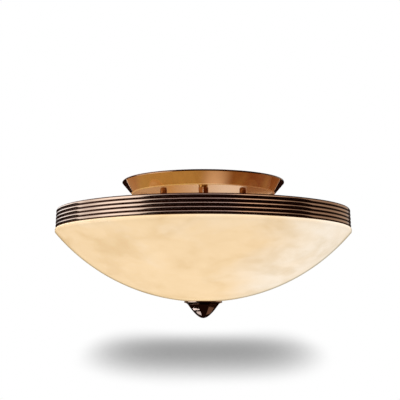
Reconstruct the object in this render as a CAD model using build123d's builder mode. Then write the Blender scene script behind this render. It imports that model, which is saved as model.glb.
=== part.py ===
"""Semi-flush ceiling light: spun pan, lamp cluster on a threaded stem, alabaster-glass bowl with a reeded band."""

import os
from math import cos, radians, sin, sqrt

from build123d import *

# Driving dimensions in millimetres. The ceiling is the plane z = 0 and the light hangs below it.

# Ceiling pan
pan_rim_diameter = 253.0
pan_foot_diameter = 223.0
pan_height = 20.0
pan_hem_height = 2.5
pan_sheet = 1.2
pan_foot_fillet = 2.5

# Mounting strap with its slots for the ceiling box, and the studs that carry the pan
strap_width = 24.0
strap_thickness = 2.0
strap_end_margin = 12.0
box_screw_spacing = 88.9
box_slot_length = 18.0
box_slot_width = 4.6
stud_diameter = 4.2
stud_slot_margin = 8.6
stud_reach = 9.0
stud_nut_flats = 8.7
stud_nut_height = 3.2
cap_nut_diameter = 10.5
cap_nut_height = 12.0
cap_nut_dome = 3.5
ground_screw_diameter = 3.8
ground_screw_offset = 14.0
ground_head_diameter = 9.0
ground_head_height = 2.6

# Wire bushing in the pan's floor
bushing_hole_diameter = 13.0
bushing_bore_diameter = 9.0
bushing_flange_width = 2.5
bushing_flange_height = 1.5
bushing_lip_width = 1.0
bushing_offset = 46.0

# Stem, its nuts, washers, coupling and sleeve
stem_diameter = 10.0
stem_bore_diameter = 6.4
stem_top_reach = 3.0
stem_nut_flats = 15.9
stem_nut_height = 5.0
stem_washer_diameter = 24.0
stem_washer_thickness = 1.2
coupling_length = 10.5
sleeve_length = 16.0
sleeve_diameter = 14.0

# Lamp cluster
lamp_count = 3
first_lamp_angle = 90.0
lamp_droop = 10.0
hub_diameter = 40.0
hub_height = 26.0
hub_fillet = 4.0
hub_boss_diameter = 22.0
hub_boss_reach = 4.0
arm_diameter = 10.0
arm_bore_diameter = 6.4
arm_seat_depth = 8.0
arm_reach = 3.5

# Lampholders for a medium screw base
holder_collar_diameter = 16.0
holder_collar_length = 3.0
holder_cap_diameter = 35.0
holder_cap_sheet = 1.2
holder_cap_shoulder = 6.0
holder_wire_room = 1.0
holder_seat_length = 12.0
holder_skirt_diameter = 36.0
holder_skirt_fillet = 1.5
holder_floor_thickness = 1.0
holder_depth = 26.0
shell_thickness = 0.5
shell_setback = 2.0
shell_port_diameter = 12.0
contact_diameter = 9.0
contact_thickness = 1.2

# Bulbs
bulb_diameter = 60.0
bulb_length = 110.0
bulb_neck_diameter = 25.4
bulb_glass_wall = 0.9
bulb_base_diameter = 26.0
bulb_base_length = 20.0
bulb_base_chamfer = 1.5
bulb_insulator_length = 4.0
bulb_insulator_wide = 22.0
bulb_insulator_narrow = 10.0
bulb_tip_diameter = 8.4
bulb_tip_height = 1.8
bulb_flank_angle = 30.0

# Bowl and its reeded band
rim_drop = 28.0
bowl_diameter = 457.0
bowl_lip_height = 5.6
bowl_lip_fillet = 2.4
dome_depth = 105.0
bowl_wall = 4.5
bowl_rim_wall = 5.0
bowl_hole_margin = 2.0
band_height = 28.0
band_wall = 1.5
band_inset = 0.7
band_flare = 1.0
reed_count = 5
reed_depth = 1.0
gasket_thickness = 1.2
gasket_margin = 0.8

# Bowl seat and finial
pad_diameter = 40.0
pad_thickness = 2.0
seat_washer_thickness = 1.5
finial_diameter = 58.8
finial_height = 26.0
finial_flange_thickness = 2.4
finial_flange_fillet = 0.9
finial_waist_diameter = 46.8
finial_waist_drop = 5.6
finial_nose_diameter = 26.4
finial_nose_height = 8.4
finial_engagement = 16.0
finial_bore_spare = 2.0

# Clearances, all on the radius or between two faces
thread_clearance = 0.05
hole_clearance = 0.4
press_clearance = 0.1
screw_base_clearance = 0.2
band_clearance = 0.4
band_seat_clearance = 0.3
flange_clearance = 0.3

# Levels, from the ceiling downwards
pan_floor_z = -pan_height
pan_floor_top_z = pan_floor_z + pan_sheet
coupling_top_z = pan_floor_z - stem_washer_thickness
coupling_base_z = coupling_top_z - coupling_length
hub_top_z = coupling_base_z - sleeve_length
hub_middle_z = hub_top_z - hub_height / 2
hub_base_z = hub_top_z - hub_height
band_top_z = pan_floor_z - rim_drop
band_base_z = band_top_z - band_height
rim_top_z = band_top_z - band_wall - gasket_thickness
shoulder_z = band_base_z - band_seat_clearance
lip_base_z = shoulder_z - bowl_lip_height

# Radii and the dome's centre
stem_radius = stem_diameter / 2
thread_radius = stem_radius + thread_clearance
bowl_radius = bowl_diameter / 2
band_inner_radius = bowl_radius - band_inset - reed_depth - band_flare - band_wall
rim_outer_radius = band_inner_radius - band_clearance
rim_inner_radius = rim_outer_radius - bowl_rim_wall
dome_radius = (bowl_radius**2 + dome_depth**2) / (2 * dome_depth)
dome_centre_z = lip_base_z - dome_depth + dome_radius
inner_dome_radius = dome_radius - bowl_wall
bowl_hole_radius = stem_radius + bowl_hole_margin
pad_radius = pad_diameter / 2
spot_radius = pad_radius + hole_clearance


def dome_z(radius: float, distance: float) -> float:
    """Height of a dome of the given radius, about the bowl's centre, at a distance from the stem."""
    return dome_centre_z - sqrt(radius**2 - distance**2)


spot_z = dome_z(dome_radius, spot_radius)
inner_spot_z = dome_z(inner_dome_radius, spot_radius)
stop_washer_z = inner_spot_z + pad_thickness
stop_nut_z = stop_washer_z + seat_washer_thickness
finial_seat_z = spot_z - seat_washer_thickness
stem_top_z = pan_floor_top_z + stem_washer_thickness + stem_nut_height + stem_top_reach
stem_base_z = finial_seat_z - finial_engagement

# Places along the mounting strap
box_screw_x = box_screw_spacing / 2
stud_x = box_screw_x + box_slot_length / 2 + stud_slot_margin
stud_base_z = pan_floor_z - stud_reach
upwards = (Align.CENTER, Align.CENTER, Align.MIN)


def save(piece: Part, name: str) -> None:
    """Label a finished piece and write it as its own file."""
    piece.label = name
    export_step(piece, f"parts/{name}.step")


def ring(outer_radius: float, inner_radius: float, thickness: float, base_z: float) -> Part:
    """Flat ring about the stem, standing on the given level."""
    with BuildPart(Plane.XY.offset(base_z)) as flat_ring:
        Cylinder(outer_radius, thickness, align=upwards)
        Hole(inner_radius)
    return flat_ring.part


def stem_nut(height: float, base_z: float) -> Part:
    """Hexagonal nut on the stem, with one corner towards the front."""
    with BuildPart() as nut:
        with BuildSketch(Plane.XY.offset(base_z)):
            RegularPolygon(stem_nut_flats / 2, 6, major_radius=False, rotation=30)
            Circle(thread_radius, mode=Mode.SUBTRACT)
        extrude(amount=height)
    return nut.part


os.makedirs("parts", exist_ok=True)

# Ceiling pan: a turned cup, hollowed from its open top
with BuildPart() as ceiling_pan:
    with BuildSketch(Plane.XZ):
        with BuildLine():
            Polyline(
                (0, 0),
                (pan_rim_diameter / 2, 0),
                (pan_rim_diameter / 2, -pan_hem_height),
                (pan_foot_diameter / 2, pan_floor_z),
                (0, pan_floor_z),
                close=True,
            )
        make_face()
    revolve(axis=Axis.Z)
    fillet(edges().filter_by(GeomType.CIRCLE).group_by(Axis.Z)[0], pan_foot_fillet)
    offset(amount=-pan_sheet, openings=faces().sort_by(Axis.Z)[-1])
    Hole(stem_radius + hole_clearance)
    with Locations((stud_x, 0), (-stud_x, 0)):
        Hole(stud_diameter / 2 + hole_clearance)
    with Locations((0, bushing_offset)):
        Hole(bushing_hole_diameter / 2)
save(ceiling_pan.part, "ceiling_pan")

# Mounting strap, flush with the ceiling
with BuildPart() as mounting_strap:
    with BuildSketch(Plane.XY.offset(-strap_thickness)):
        SlotOverall(2 * (stud_x + strap_end_margin), strap_width)
        with Locations((box_screw_x, 0), (-box_screw_x, 0)):
            SlotOverall(box_slot_length, box_slot_width, mode=Mode.SUBTRACT)
        with Locations((stud_x, 0), (-stud_x, 0)):
            Circle(stud_diameter / 2 + thread_clearance, mode=Mode.SUBTRACT)
        with Locations((ground_screw_offset, 0)):
            Circle(ground_screw_diameter / 2 + thread_clearance, mode=Mode.SUBTRACT)
    extrude(amount=strap_thickness)
save(mounting_strap.part, "mounting_strap")

# Studs, screwed into the strap and reaching through the pan's floor
with BuildPart(Plane.XY.offset(stud_base_z)) as mounting_studs:
    with Locations((stud_x, 0), (-stud_x, 0)):
        Cylinder(stud_diameter / 2, -stud_base_z, align=upwards)
save(mounting_studs.part, "mounting_studs")

with BuildPart() as stud_nuts:
    with BuildSketch(Plane.XY.offset(-strap_thickness - stud_nut_height)):
        with Locations((stud_x, 0), (-stud_x, 0)):
            RegularPolygon(stud_nut_flats / 2, 6, major_radius=False)
            Circle(stud_diameter / 2 + thread_clearance, mode=Mode.SUBTRACT)
    extrude(amount=stud_nut_height)
save(stud_nuts.part, "stud_nuts")

# Cap nuts: domed, with a blind thread, tightened against the pan's floor
with BuildPart(Plane.XY.offset(pan_floor_z - cap_nut_height)) as cap_nuts:
    with Locations((stud_x, 0), (-stud_x, 0)):
        Cylinder(cap_nut_diameter / 2, cap_nut_height, align=upwards)
    fillet(edges().filter_by(GeomType.CIRCLE).group_by(Axis.Z)[0], cap_nut_dome)
    with Locations((stud_x, 0, cap_nut_height - stud_reach), (-stud_x, 0, cap_nut_height - stud_reach)):
        Cylinder(stud_diameter / 2 + thread_clearance, stud_reach, align=upwards, mode=Mode.SUBTRACT)
save(cap_nuts.part, "cap_nuts")

with BuildPart(Plane.XY.offset(-strap_thickness)) as ground_screw:
    with Locations((ground_screw_offset, 0)):
        Cylinder(ground_screw_diameter / 2, strap_thickness, align=upwards)
    with Locations((ground_screw_offset, 0, -ground_head_height)):
        Cylinder(ground_head_diameter / 2, ground_head_height, align=upwards)
save(ground_screw.part, "ground_screw")

# Wire bushing, snapped into the pan's floor
with BuildPart() as wire_bushing:
    bushing_radius = bushing_hole_diameter / 2 - press_clearance
    flange_radius = bushing_radius + bushing_flange_width
    flange_top_z = pan_floor_top_z + bushing_flange_height
    lip_radius = bushing_radius + bushing_lip_width
    lip_z = pan_floor_z - bushing_lip_width
    with BuildSketch(Plane.XZ.offset(-bushing_offset)):
        with BuildLine():
            Polyline(
                (bushing_bore_diameter / 2, flange_top_z),
                (flange_radius, flange_top_z),
                (flange_radius, pan_floor_top_z),
                (bushing_radius, pan_floor_top_z),
                (bushing_radius, pan_floor_z),
                (lip_radius, pan_floor_z),
                (bushing_radius, lip_z),
                (bushing_bore_diameter / 2, lip_z),
                close=True,
            )
        make_face()
    revolve(axis=Axis((0, bushing_offset, 0), (0, 0, 1)))
save(wire_bushing.part, "wire_bushing")

# Stem: one hollow threaded rod from the pan to the finial
with BuildPart(Plane.XY.offset(stem_base_z)) as stem:
    Cylinder(stem_radius, stem_top_z - stem_base_z, align=upwards)
    Hole(stem_bore_diameter / 2)
save(stem.part, "stem")

# Nuts, washers, coupling and sleeve that clamp the pan's floor and space the cluster
save(stem_nut(stem_nut_height, pan_floor_top_z + stem_washer_thickness), "stem_top_nut")
washer_hole_radius = stem_radius + hole_clearance
save(
    ring(stem_washer_diameter / 2, washer_hole_radius, stem_washer_thickness, pan_floor_top_z),
    "stem_upper_washer",
)
save(
    ring(stem_washer_diameter / 2, washer_hole_radius, stem_washer_thickness, coupling_top_z),
    "stem_lower_washer",
)
save(stem_nut(coupling_length, coupling_base_z), "stem_coupling")
save(ring(sleeve_diameter / 2, washer_hole_radius, sleeve_length, hub_top_z), "stem_sleeve")

# Places along a lamp's own axis, measured from the stem's axis
boss_face = hub_diameter / 2 + hub_boss_reach
arm_start = boss_face - arm_seat_depth
cap_back = boss_face + holder_collar_length
arm_end = cap_back + holder_cap_sheet + arm_reach
body_back = arm_end + holder_wire_room
cap_front = body_back + holder_seat_length
cavity_floor = cap_front + holder_floor_thickness
body_front = cavity_floor + holder_depth
shell_front = body_front - shell_setback
bulb_back = cavity_floor + contact_thickness
insulator_back = bulb_back + bulb_tip_height
base_back = insulator_back + bulb_insulator_length
base_front = base_back + bulb_base_length
bulb_tip = bulb_back + bulb_length

# Radii about a lamp's own axis
arm_thread_radius = arm_diameter / 2 + thread_clearance
cap_radius = holder_cap_diameter / 2
cap_inner_radius = cap_radius - holder_cap_sheet
cap_inner_shoulder = holder_cap_shoulder - holder_cap_sheet
base_radius = bulb_base_diameter / 2
shell_inner_radius = base_radius + screw_base_clearance
shell_outer_radius = shell_inner_radius + shell_thickness
ball_radius = bulb_diameter / 2
ball_centre = bulb_tip - ball_radius


def lamp_direction(index: int) -> Vector:
    """Unit vector along a lamp's axis, outwards from the stem and drooping a little."""
    turn = radians(first_lamp_angle + index * 360 / lamp_count)
    droop = radians(lamp_droop)
    return Vector(cos(turn) * cos(droop), sin(turn) * cos(droop), -sin(droop))


def ball_point(radius: float, angle: float) -> tuple[float, float]:
    """Point on a bulb's round end, at an angle in degrees from the bulb's tip."""
    return (ball_centre + radius * cos(radians(angle)), radius * sin(radians(angle)))


hub_middle = Vector(0, 0, hub_middle_z)

# Cluster hub: a turned body with one bored boss for each lamp
with BuildPart(Plane.XY.offset(hub_base_z)) as cluster_hub:
    Cylinder(hub_diameter / 2, hub_height, align=upwards)
    fillet(edges().filter_by(GeomType.CIRCLE), hub_fillet)
    for index in range(lamp_count):
        with BuildSketch(Plane(hub_middle, z_dir=lamp_direction(index))):
            Circle(hub_boss_diameter / 2)
        extrude(amount=boss_face)
    for index in range(lamp_count):
        arm_seat = Plane(hub_middle + lamp_direction(index) * arm_start, z_dir=lamp_direction(index))
        with BuildSketch(arm_seat):
            Circle(arm_thread_radius)
        extrude(amount=arm_seat_depth, mode=Mode.SUBTRACT)
    Hole(thread_radius)
save(cluster_hub.part, "cluster_hub")
save(stem_nut(stem_nut_height, hub_base_z - stem_nut_height), "cluster_nut")

for index in range(lamp_count):
    number = index + 1
    along = lamp_direction(index)
    lamp_axis = Axis(hub_middle, along)
    lamp_plane = Plane(hub_middle, x_dir=along, z_dir=Vector(0, 0, 1).cross(along))

    # Lamp arm: a short threaded tube from the hub to the lampholder
    with BuildPart(Plane(hub_middle + along * arm_start, z_dir=along)) as lamp_arm:
        Cylinder(arm_diameter / 2, arm_end - arm_start, align=upwards)
        Hole(arm_bore_diameter / 2)
    save(lamp_arm.part, f"lamp_arm_{number}")

    # Lampholder cap: a drawn metal cup with a threaded collar
    with BuildPart() as holder_cap:
        with BuildSketch(lamp_plane):
            with BuildLine():
                collar_radius = holder_collar_diameter / 2
                shoulder_radius = cap_radius - holder_cap_shoulder
                Polyline(
                    (boss_face, arm_thread_radius),
                    (boss_face, collar_radius),
                    (cap_back, collar_radius),
                    (cap_back, shoulder_radius),
                )
                RadiusArc(
                    (cap_back, shoulder_radius),
                    (cap_back + holder_cap_shoulder, cap_radius),
                    holder_cap_shoulder,
                )
                Polyline(
                    (cap_back + holder_cap_shoulder, cap_radius),
                    (cap_front, cap_radius),
                    (cap_front, cap_inner_radius),
                    (cap_back + holder_cap_shoulder, cap_inner_radius),
                )
                RadiusArc(
                    (cap_back + holder_cap_shoulder, cap_inner_radius),
                    (cap_back + holder_cap_sheet, shoulder_radius),
                    -cap_inner_shoulder,
                )
                Polyline(
                    (cap_back + holder_cap_sheet, shoulder_radius),
                    (cap_back + holder_cap_sheet, arm_thread_radius),
                    (boss_face, arm_thread_radius),
                )
            make_face()
        revolve(axis=lamp_axis)
    save(holder_cap.part, f"holder_cap_{number}")

    # Lampholder body: an insulating cup that seats on the cap's edge
    with BuildPart() as holder_body:
        with BuildSketch(lamp_plane):
            with BuildLine():
                Polyline(
                    (body_back, 0),
                    (body_back, cap_inner_radius - press_clearance),
                    (cap_front, cap_inner_radius - press_clearance),
                    (cap_front, holder_skirt_diameter / 2),
                    (body_front, holder_skirt_diameter / 2),
                    (body_front, shell_outer_radius + press_clearance),
                    (cavity_floor, shell_outer_radius + press_clearance),
                    (cavity_floor, 0),
                    close=True,
                )
            make_face()
            fillet(vertices().group_by(Axis.Y)[-1].sort_by(Axis.X)[-1], holder_skirt_fillet)
        revolve(axis=lamp_axis)
    save(holder_body.part, f"holder_body_{number}")

    # Screw shell: a thin cup with a port for the spring contact
    with BuildPart() as holder_shell:
        with BuildSketch(lamp_plane):
            with BuildLine():
                Polyline(
                    (cavity_floor, shell_port_diameter / 2),
                    (cavity_floor, shell_outer_radius),
                    (shell_front, shell_outer_radius),
                    (shell_front, shell_inner_radius),
                    (cavity_floor + shell_thickness, shell_inner_radius),
                    (cavity_floor + shell_thickness, shell_port_diameter / 2),
                    close=True,
                )
            make_face()
        revolve(axis=lamp_axis)
    save(holder_shell.part, f"holder_shell_{number}")

    with BuildPart(Plane(hub_middle + along * cavity_floor, z_dir=along)) as holder_contact:
        Cylinder(contact_diameter / 2, contact_thickness, align=upwards)
    save(holder_contact.part, f"holder_contact_{number}")

    # Bulb: tip contact, insulator, screw base and a thin glass envelope
    with BuildPart(Plane(hub_middle + along * bulb_back, z_dir=along)) as bulb_contact:
        Cylinder(bulb_tip_diameter / 2, bulb_tip_height, align=upwards)
    save(bulb_contact.part, f"bulb_contact_{number}")

    with BuildPart(Plane(hub_middle + along * insulator_back, z_dir=along)) as bulb_insulator:
        Cone(bulb_insulator_narrow / 2, bulb_insulator_wide / 2, bulb_insulator_length, align=upwards)
    save(bulb_insulator.part, f"bulb_insulator_{number}")

    with BuildPart(Plane(hub_middle + along * base_back, z_dir=along)) as bulb_base:
        Cylinder(base_radius, bulb_base_length, align=upwards)
        chamfer(edges().filter_by(GeomType.CIRCLE).sort_by(lamp_axis)[0], bulb_base_chamfer)
    save(bulb_base.part, f"bulb_base_{number}")

    with BuildPart() as bulb_glass:
        neck_radius = bulb_neck_diameter / 2
        inner_ball_radius = ball_radius - bulb_glass_wall
        flank_end = ball_point(ball_radius, 90 + bulb_flank_angle)
        inner_flank_end = ball_point(inner_ball_radius, 90 + bulb_flank_angle)
        flank_slope = (-cos(radians(bulb_flank_angle)), -sin(radians(bulb_flank_angle)))
        inner_neck_radius = neck_radius - bulb_glass_wall
        with BuildSketch(lamp_plane):
            with BuildLine():
                ThreePointArc((bulb_tip, 0), ball_point(ball_radius, 60), flank_end)
                TangentArc(flank_end, (base_front, neck_radius), tangent=flank_slope)
                Line((base_front, neck_radius), (base_front, inner_neck_radius))
                TangentArc(inner_flank_end, (base_front, inner_neck_radius), tangent=flank_slope)
                ThreePointArc(
                    inner_flank_end, ball_point(inner_ball_radius, 60), (bulb_tip - bulb_glass_wall, 0)
                )
                Line((bulb_tip - bulb_glass_wall, 0), (bulb_tip, 0))
            make_face()
        revolve(axis=lamp_axis)
    save(bulb_glass.part, f"bulb_glass_{number}")

# Bowl: a dome with a ground spot round its hole, an upright lip and a stepped rim for the band
with BuildPart() as bowl:
    halfway = bowl_radius / 2
    rim_dome_z = dome_z(inner_dome_radius, rim_inner_radius)
    with BuildSketch(Plane.XZ):
        with BuildLine():
            Polyline(
                (rim_inner_radius, rim_dome_z),
                (rim_inner_radius, rim_top_z),
                (rim_outer_radius, rim_top_z),
                (rim_outer_radius, shoulder_z),
                (bowl_radius, shoulder_z),
                (bowl_radius, lip_base_z),
            )
            ThreePointArc(
                (bowl_radius, lip_base_z), (halfway, dome_z(dome_radius, halfway)), (spot_radius, spot_z)
            )
            Polyline(
                (spot_radius, spot_z),
                (bowl_hole_radius, spot_z),
                (bowl_hole_radius, inner_spot_z),
                (spot_radius, inner_spot_z),
            )
            ThreePointArc(
                (spot_radius, inner_spot_z),
                (halfway, dome_z(inner_dome_radius, halfway)),
                (rim_inner_radius, rim_dome_z),
            )
        make_face()
        fillet(vertices().group_by(Axis.X)[-1], bowl_lip_fillet)
    revolve(axis=Axis.Z)
save(bowl.part, "bowl")

# Rim band: five rounded reeds outside, a plain bore and a flange that lies over the bowl's rim
with BuildPart() as rim_band:
    groove_radius = band_inner_radius + band_wall
    grooves = [
        (groove_radius + band_flare * step / reed_count, band_top_z - band_height * step / reed_count)
        for step in range(reed_count + 1)
    ]
    with BuildSketch(Plane.XZ):
        with BuildLine():
            for upper, lower in zip(grooves, grooves[1:]):
                SagittaArc(upper, lower, reed_depth)
            Polyline(
                grooves[-1],
                (band_inner_radius, band_base_z),
                (band_inner_radius, band_top_z - band_wall),
                (rim_inner_radius, band_top_z - band_wall),
                (rim_inner_radius, band_top_z),
                grooves[0],
            )
        make_face()
    revolve(axis=Axis.Z)
save(rim_band.part, "rim_band")

save(
    ring(rim_outer_radius - gasket_margin, rim_inner_radius + gasket_margin, gasket_thickness, rim_top_z),
    "rim_gasket",
)

# Seat of the bowl on the stem
save(ring(pad_radius, washer_hole_radius, pad_thickness, inner_spot_z), "bowl_pad")
save(ring(pad_radius, washer_hole_radius, seat_washer_thickness, stop_washer_z), "bowl_stop_washer")
save(stem_nut(stem_nut_height, stop_nut_z), "bowl_stop_nut")
save(ring(pad_radius, washer_hole_radius, seat_washer_thickness, finial_seat_z), "finial_washer")

# Finial: a turned knob whose dished flange follows the bowl, with a blind thread for the stem
with BuildPart() as finial:
    flange_radius = finial_diameter / 2
    dish_radius = dome_radius + flange_clearance
    recess_radius = pad_radius + hole_clearance
    dish_middle = (recess_radius + flange_radius) / 2
    finial_top_z = dome_z(dish_radius, flange_radius)
    finial_base_z = finial_top_z - finial_height
    waist = (finial_waist_diameter / 2, finial_top_z - finial_waist_drop)
    nose_radius = finial_nose_diameter / 2
    nose = (nose_radius, finial_base_z + finial_nose_height)
    nose_ball_radius = (nose_radius**2 + finial_nose_height**2) / (2 * finial_nose_height)
    nose_ball_z = finial_base_z + nose_ball_radius
    flange_base = (flange_radius, finial_top_z - finial_flange_thickness)
    with BuildSketch(Plane.XZ):
        with BuildLine():
            Polyline(
                (0, finial_seat_z),
                (recess_radius, finial_seat_z),
                (recess_radius, dome_z(dish_radius, recess_radius)),
            )
            ThreePointArc(
                (recess_radius, dome_z(dish_radius, recess_radius)),
                (dish_middle, dome_z(dish_radius, dish_middle)),
                (flange_radius, finial_top_z),
            )
            Line((flange_radius, finial_top_z), flange_base)
            TangentArc(waist, flange_base, tangent=(waist[0] - nose[0], waist[1] - nose[1]))
            Line(waist, nose)
            ThreePointArc(
                nose,
                (nose_radius / 2, nose_ball_z - sqrt(nose_ball_radius**2 - (nose_radius / 2) ** 2)),
                (0, finial_base_z),
            )
            Line((0, finial_base_z), (0, finial_seat_z))
        make_face()
        fillet(vertices().group_by(Axis.X)[-1], finial_flange_fillet)
    revolve(axis=Axis.Z)
    with BuildSketch(Plane.XY.offset(stem_base_z - finial_bore_spare)):
        Circle(thread_radius)
    extrude(amount=finial_engagement + finial_bore_spare, mode=Mode.SUBTRACT)
save(finial.part, "finial")
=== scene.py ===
"""Looks of a semi-flush ceiling light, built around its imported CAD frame.

Sizes in the classes are millimetres. Meshes are in metres in the CAD frame, with the ceiling at z = 0.
"""

import logging
import math
from collections.abc import Callable, Sequence
from dataclasses import dataclass
from enum import Enum
from typing import Any

import bmesh
import bpy
from mathutils import Matrix, Vector, geometry


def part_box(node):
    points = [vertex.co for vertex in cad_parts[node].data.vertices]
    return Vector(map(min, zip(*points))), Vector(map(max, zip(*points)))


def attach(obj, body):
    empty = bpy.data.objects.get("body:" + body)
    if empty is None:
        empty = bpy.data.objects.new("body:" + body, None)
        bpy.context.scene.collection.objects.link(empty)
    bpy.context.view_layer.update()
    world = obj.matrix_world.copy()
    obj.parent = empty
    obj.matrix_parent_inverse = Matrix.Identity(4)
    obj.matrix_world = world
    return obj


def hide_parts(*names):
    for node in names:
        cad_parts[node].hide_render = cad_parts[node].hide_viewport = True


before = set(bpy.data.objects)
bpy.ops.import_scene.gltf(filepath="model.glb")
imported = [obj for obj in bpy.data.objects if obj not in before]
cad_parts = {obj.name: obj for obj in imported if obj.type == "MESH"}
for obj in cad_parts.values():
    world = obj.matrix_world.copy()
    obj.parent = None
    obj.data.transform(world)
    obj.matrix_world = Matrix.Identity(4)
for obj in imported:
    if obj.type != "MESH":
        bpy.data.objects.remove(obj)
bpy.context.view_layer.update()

MM = 0.001
ON_AXIS = 1e-6
CRISP_ANGLE = math.radians(32)
SMOOTH = {"interpolation_type": "SMOOTHSTEP"}
RGBA = {"data_type": "RGBA"}
LENGTH = {"operation": "LENGTH"}
MULTIPLY = {"operation": "MULTIPLY"}
SCALE_AND_ADD = {"operation": "MULTIPLY_ADD"}
CLAMPED_SUM = {"operation": "ADD", "use_clamp": True}
LOG = logging.getLogger("ceiling_light")
Triple = tuple[float, float, float]
Profile = list[tuple[float, float]]
Colour = tuple[float, float, float, float]
Tones = tuple[tuple[float, str], ...]


class Slot(Enum):
    """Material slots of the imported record."""

    BRONZE = "bronze"
    BRASS = "brass"
    STEEL = "zinc_steel"
    GREEN = "green_screw"
    NYLON = "black_nylon"
    RUBBER = "rubber"
    ALABASTER = "alabaster_glass"
    PORCELAIN = "porcelain"
    BULB_GLASS = "frosted_glass"
    ALUMINIUM = "aluminium"
    BLACK_GLASS = "black_glass"
    SOLDER = "solder"


class Body(Enum):
    """Bodies that pieces ride on."""

    FIXTURE = "fixture"
    BOWL = "bowl"
    FINIAL = "finial"
    BULB_1 = "bulb_1"
    BULB_2 = "bulb_2"
    BULB_3 = "bulb_3"


def linear(hex_colour: str) -> Colour:
    """Turn an sRGB hex colour into linear values, by the sRGB standard's curve.

    Args:
        hex_colour: six hex digits, red first.

    Returns:
        Linear red, green and blue, with an alpha of 1.
    """
    channels = [int(hex_colour[place : place + 2], 16) / 255 for place in (0, 2, 4)]
    red, green, blue = (c / 12.92 if c <= 0.04045 else ((c + 0.055) / 1.055) ** 2.4 for c in channels)
    return (red, green, blue, 1.0)


def add_node(
    tree: bpy.types.NodeTree,
    kind: str,
    settings: dict[str, Any] | None = None,
    inputs: dict[str | int, Any] | None = None,
    stops: Sequence[tuple[float, Colour]] = (),
) -> bpy.types.Node:
    """Add a node with its settings, input values and links.

    Args:
        tree: node tree that takes the node.
        kind: Blender's type name, without its ShaderNode prefix.
        settings: attributes of the node.
        inputs: values, sockets, or nodes that give their first output, by input name or number.
        stops: places from 0 to 1 with their colours, in order, where the node is a colour ramp.

    Returns:
        The new node.
    """
    node = tree.nodes.new("ShaderNode" + kind)
    for name, value in (settings or {}).items():
        setattr(node, name, value)
    for name, value in (inputs or {}).items():
        if isinstance(value, bpy.types.Node):
            value = next(socket for socket in value.outputs if socket.enabled)
        if isinstance(value, bpy.types.NodeSocket):
            tree.links.new(value, node.inputs[name])
        else:
            node.inputs[name].default_value = value
    if stops:
        elements = node.color_ramp.elements
        while len(elements) < len(stops):
            elements.new(1.0)
        for element, (place, colour) in zip(elements, stops):
            element.position = place
            element.color = colour
    return node


def blank_material(name: str) -> bpy.types.Material:
    """Make a material with an empty node tree.

    Args:
        name: material name.

    Returns:
        The new material.
    """
    material = bpy.data.materials.new(name)
    material.use_nodes = True
    material.node_tree.nodes.clear()
    return material


def tones_along(
    tree: bpy.types.NodeTree, place: bpy.types.NodeSocket, tones: Sequence[tuple[float, Colour]]
) -> bpy.types.Node:
    """Vary a colour along one axis.

    Args:
        tree: node tree that takes the nodes.
        place: position along the axis, in metres.
        tones: places in millimetres with their colours, in order.

    Returns:
        The node that gives the colour.
    """
    low, high = tones[0][0], tones[-1][0]
    share = add_node(tree, "MapRange", inputs={0: place, 1: low * MM, 2: high * MM})
    stops = [((at - low) / (high - low), colour) for at, colour in tones]
    return add_node(tree, "ValToRGB", inputs={"Fac": share}, stops=stops)


@dataclass(frozen=True)
class Finish:
    """A surface as it was made, which can be turned into one material."""

    name: str
    slot: Slot

    def material(self) -> bpy.types.Material:
        """Make the finish's material on its first use.

        Returns:
            The material.
        """
        made = bpy.data.materials.get(self.name)
        if made is None:
            made = blank_material(self.name)
            tree = made.node_tree
            shader = add_node(tree, "BsdfPrincipled", inputs=self.paint(tree))
            add_node(tree, "OutputMaterial", inputs={"Surface": shader})
        return made

    def paint(self, tree: bpy.types.NodeTree) -> dict[str, Any]:
        """Draw the finish's pattern in a node tree and return the shader's inputs by name."""
        raise NotImplementedError


@dataclass(frozen=True)
class Metal(Finish):
    """Metal with faint patches of tarnish and the fine rings that a lathe or a buffing wheel leaves."""

    bright: str
    tarnish: str
    roughness: float
    patch_mm: float = 40.0
    patch_span: tuple[float, float] = (0.35, 0.75)
    # A tool leaves rings about 0.1 mm apart, which are drawn coarser so that they show.
    ring_mm: float = 0.9
    ring_depth: float = 0.05
    ring_height_mm: float = 0.2
    ring_swing: float = 0.25
    coat: float = 0.0
    coat_roughness: float = 0.06

    def paint(self, tree: bpy.types.NodeTree) -> dict[str, Any]:
        """Let tarnish patches vary the colour, and lathe rings the roughness and the bump.

        Args:
            tree: the material's node tree.

        Returns:
            The shader's inputs by name.
        """
        place = add_node(tree, "TexCoord").outputs["Object"]
        pattern = {"Vector": place, "Scale": 1 / (self.patch_mm * MM), "Detail": 3.0, "Roughness": 0.6}
        patches = add_node(tree, "TexNoise", inputs=pattern)
        stops = list(zip(self.patch_span, (linear(self.bright), linear(self.tarnish))))
        colour = add_node(tree, "ValToRGB", inputs={"Fac": patches}, stops=stops)
        flat = add_node(tree, "VectorMath", MULTIPLY, {0: place, 1: (1.0, 1.0, 0.0)})
        radius = add_node(tree, "VectorMath", LENGTH, {0: flat})
        height = add_node(tree, "SeparateXYZ", inputs={0: place}).outputs["Z"]
        along = add_node(tree, "CombineXYZ", inputs={0: radius, 2: height})
        pattern = {"Vector": along, "Scale": 1 / (self.ring_mm * MM), "Detail": 2.0}
        rings = add_node(tree, "TexNoise", inputs=pattern)
        low, high = (self.roughness * (1 + sign * self.ring_swing) for sign in (-1, 1))
        relief = {"Strength": self.ring_depth, "Distance": self.ring_height_mm * MM, "Height": rings}
        return {
            "Base Color": colour,
            "Metallic": 1.0,
            "Roughness": add_node(tree, "MapRange", inputs={0: rings, 3: low, 4: high}),
            "Normal": add_node(tree, "Bump", inputs=relief),
            "Coat Weight": self.coat,
            "Coat Roughness": self.coat_roughness,
        }


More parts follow.
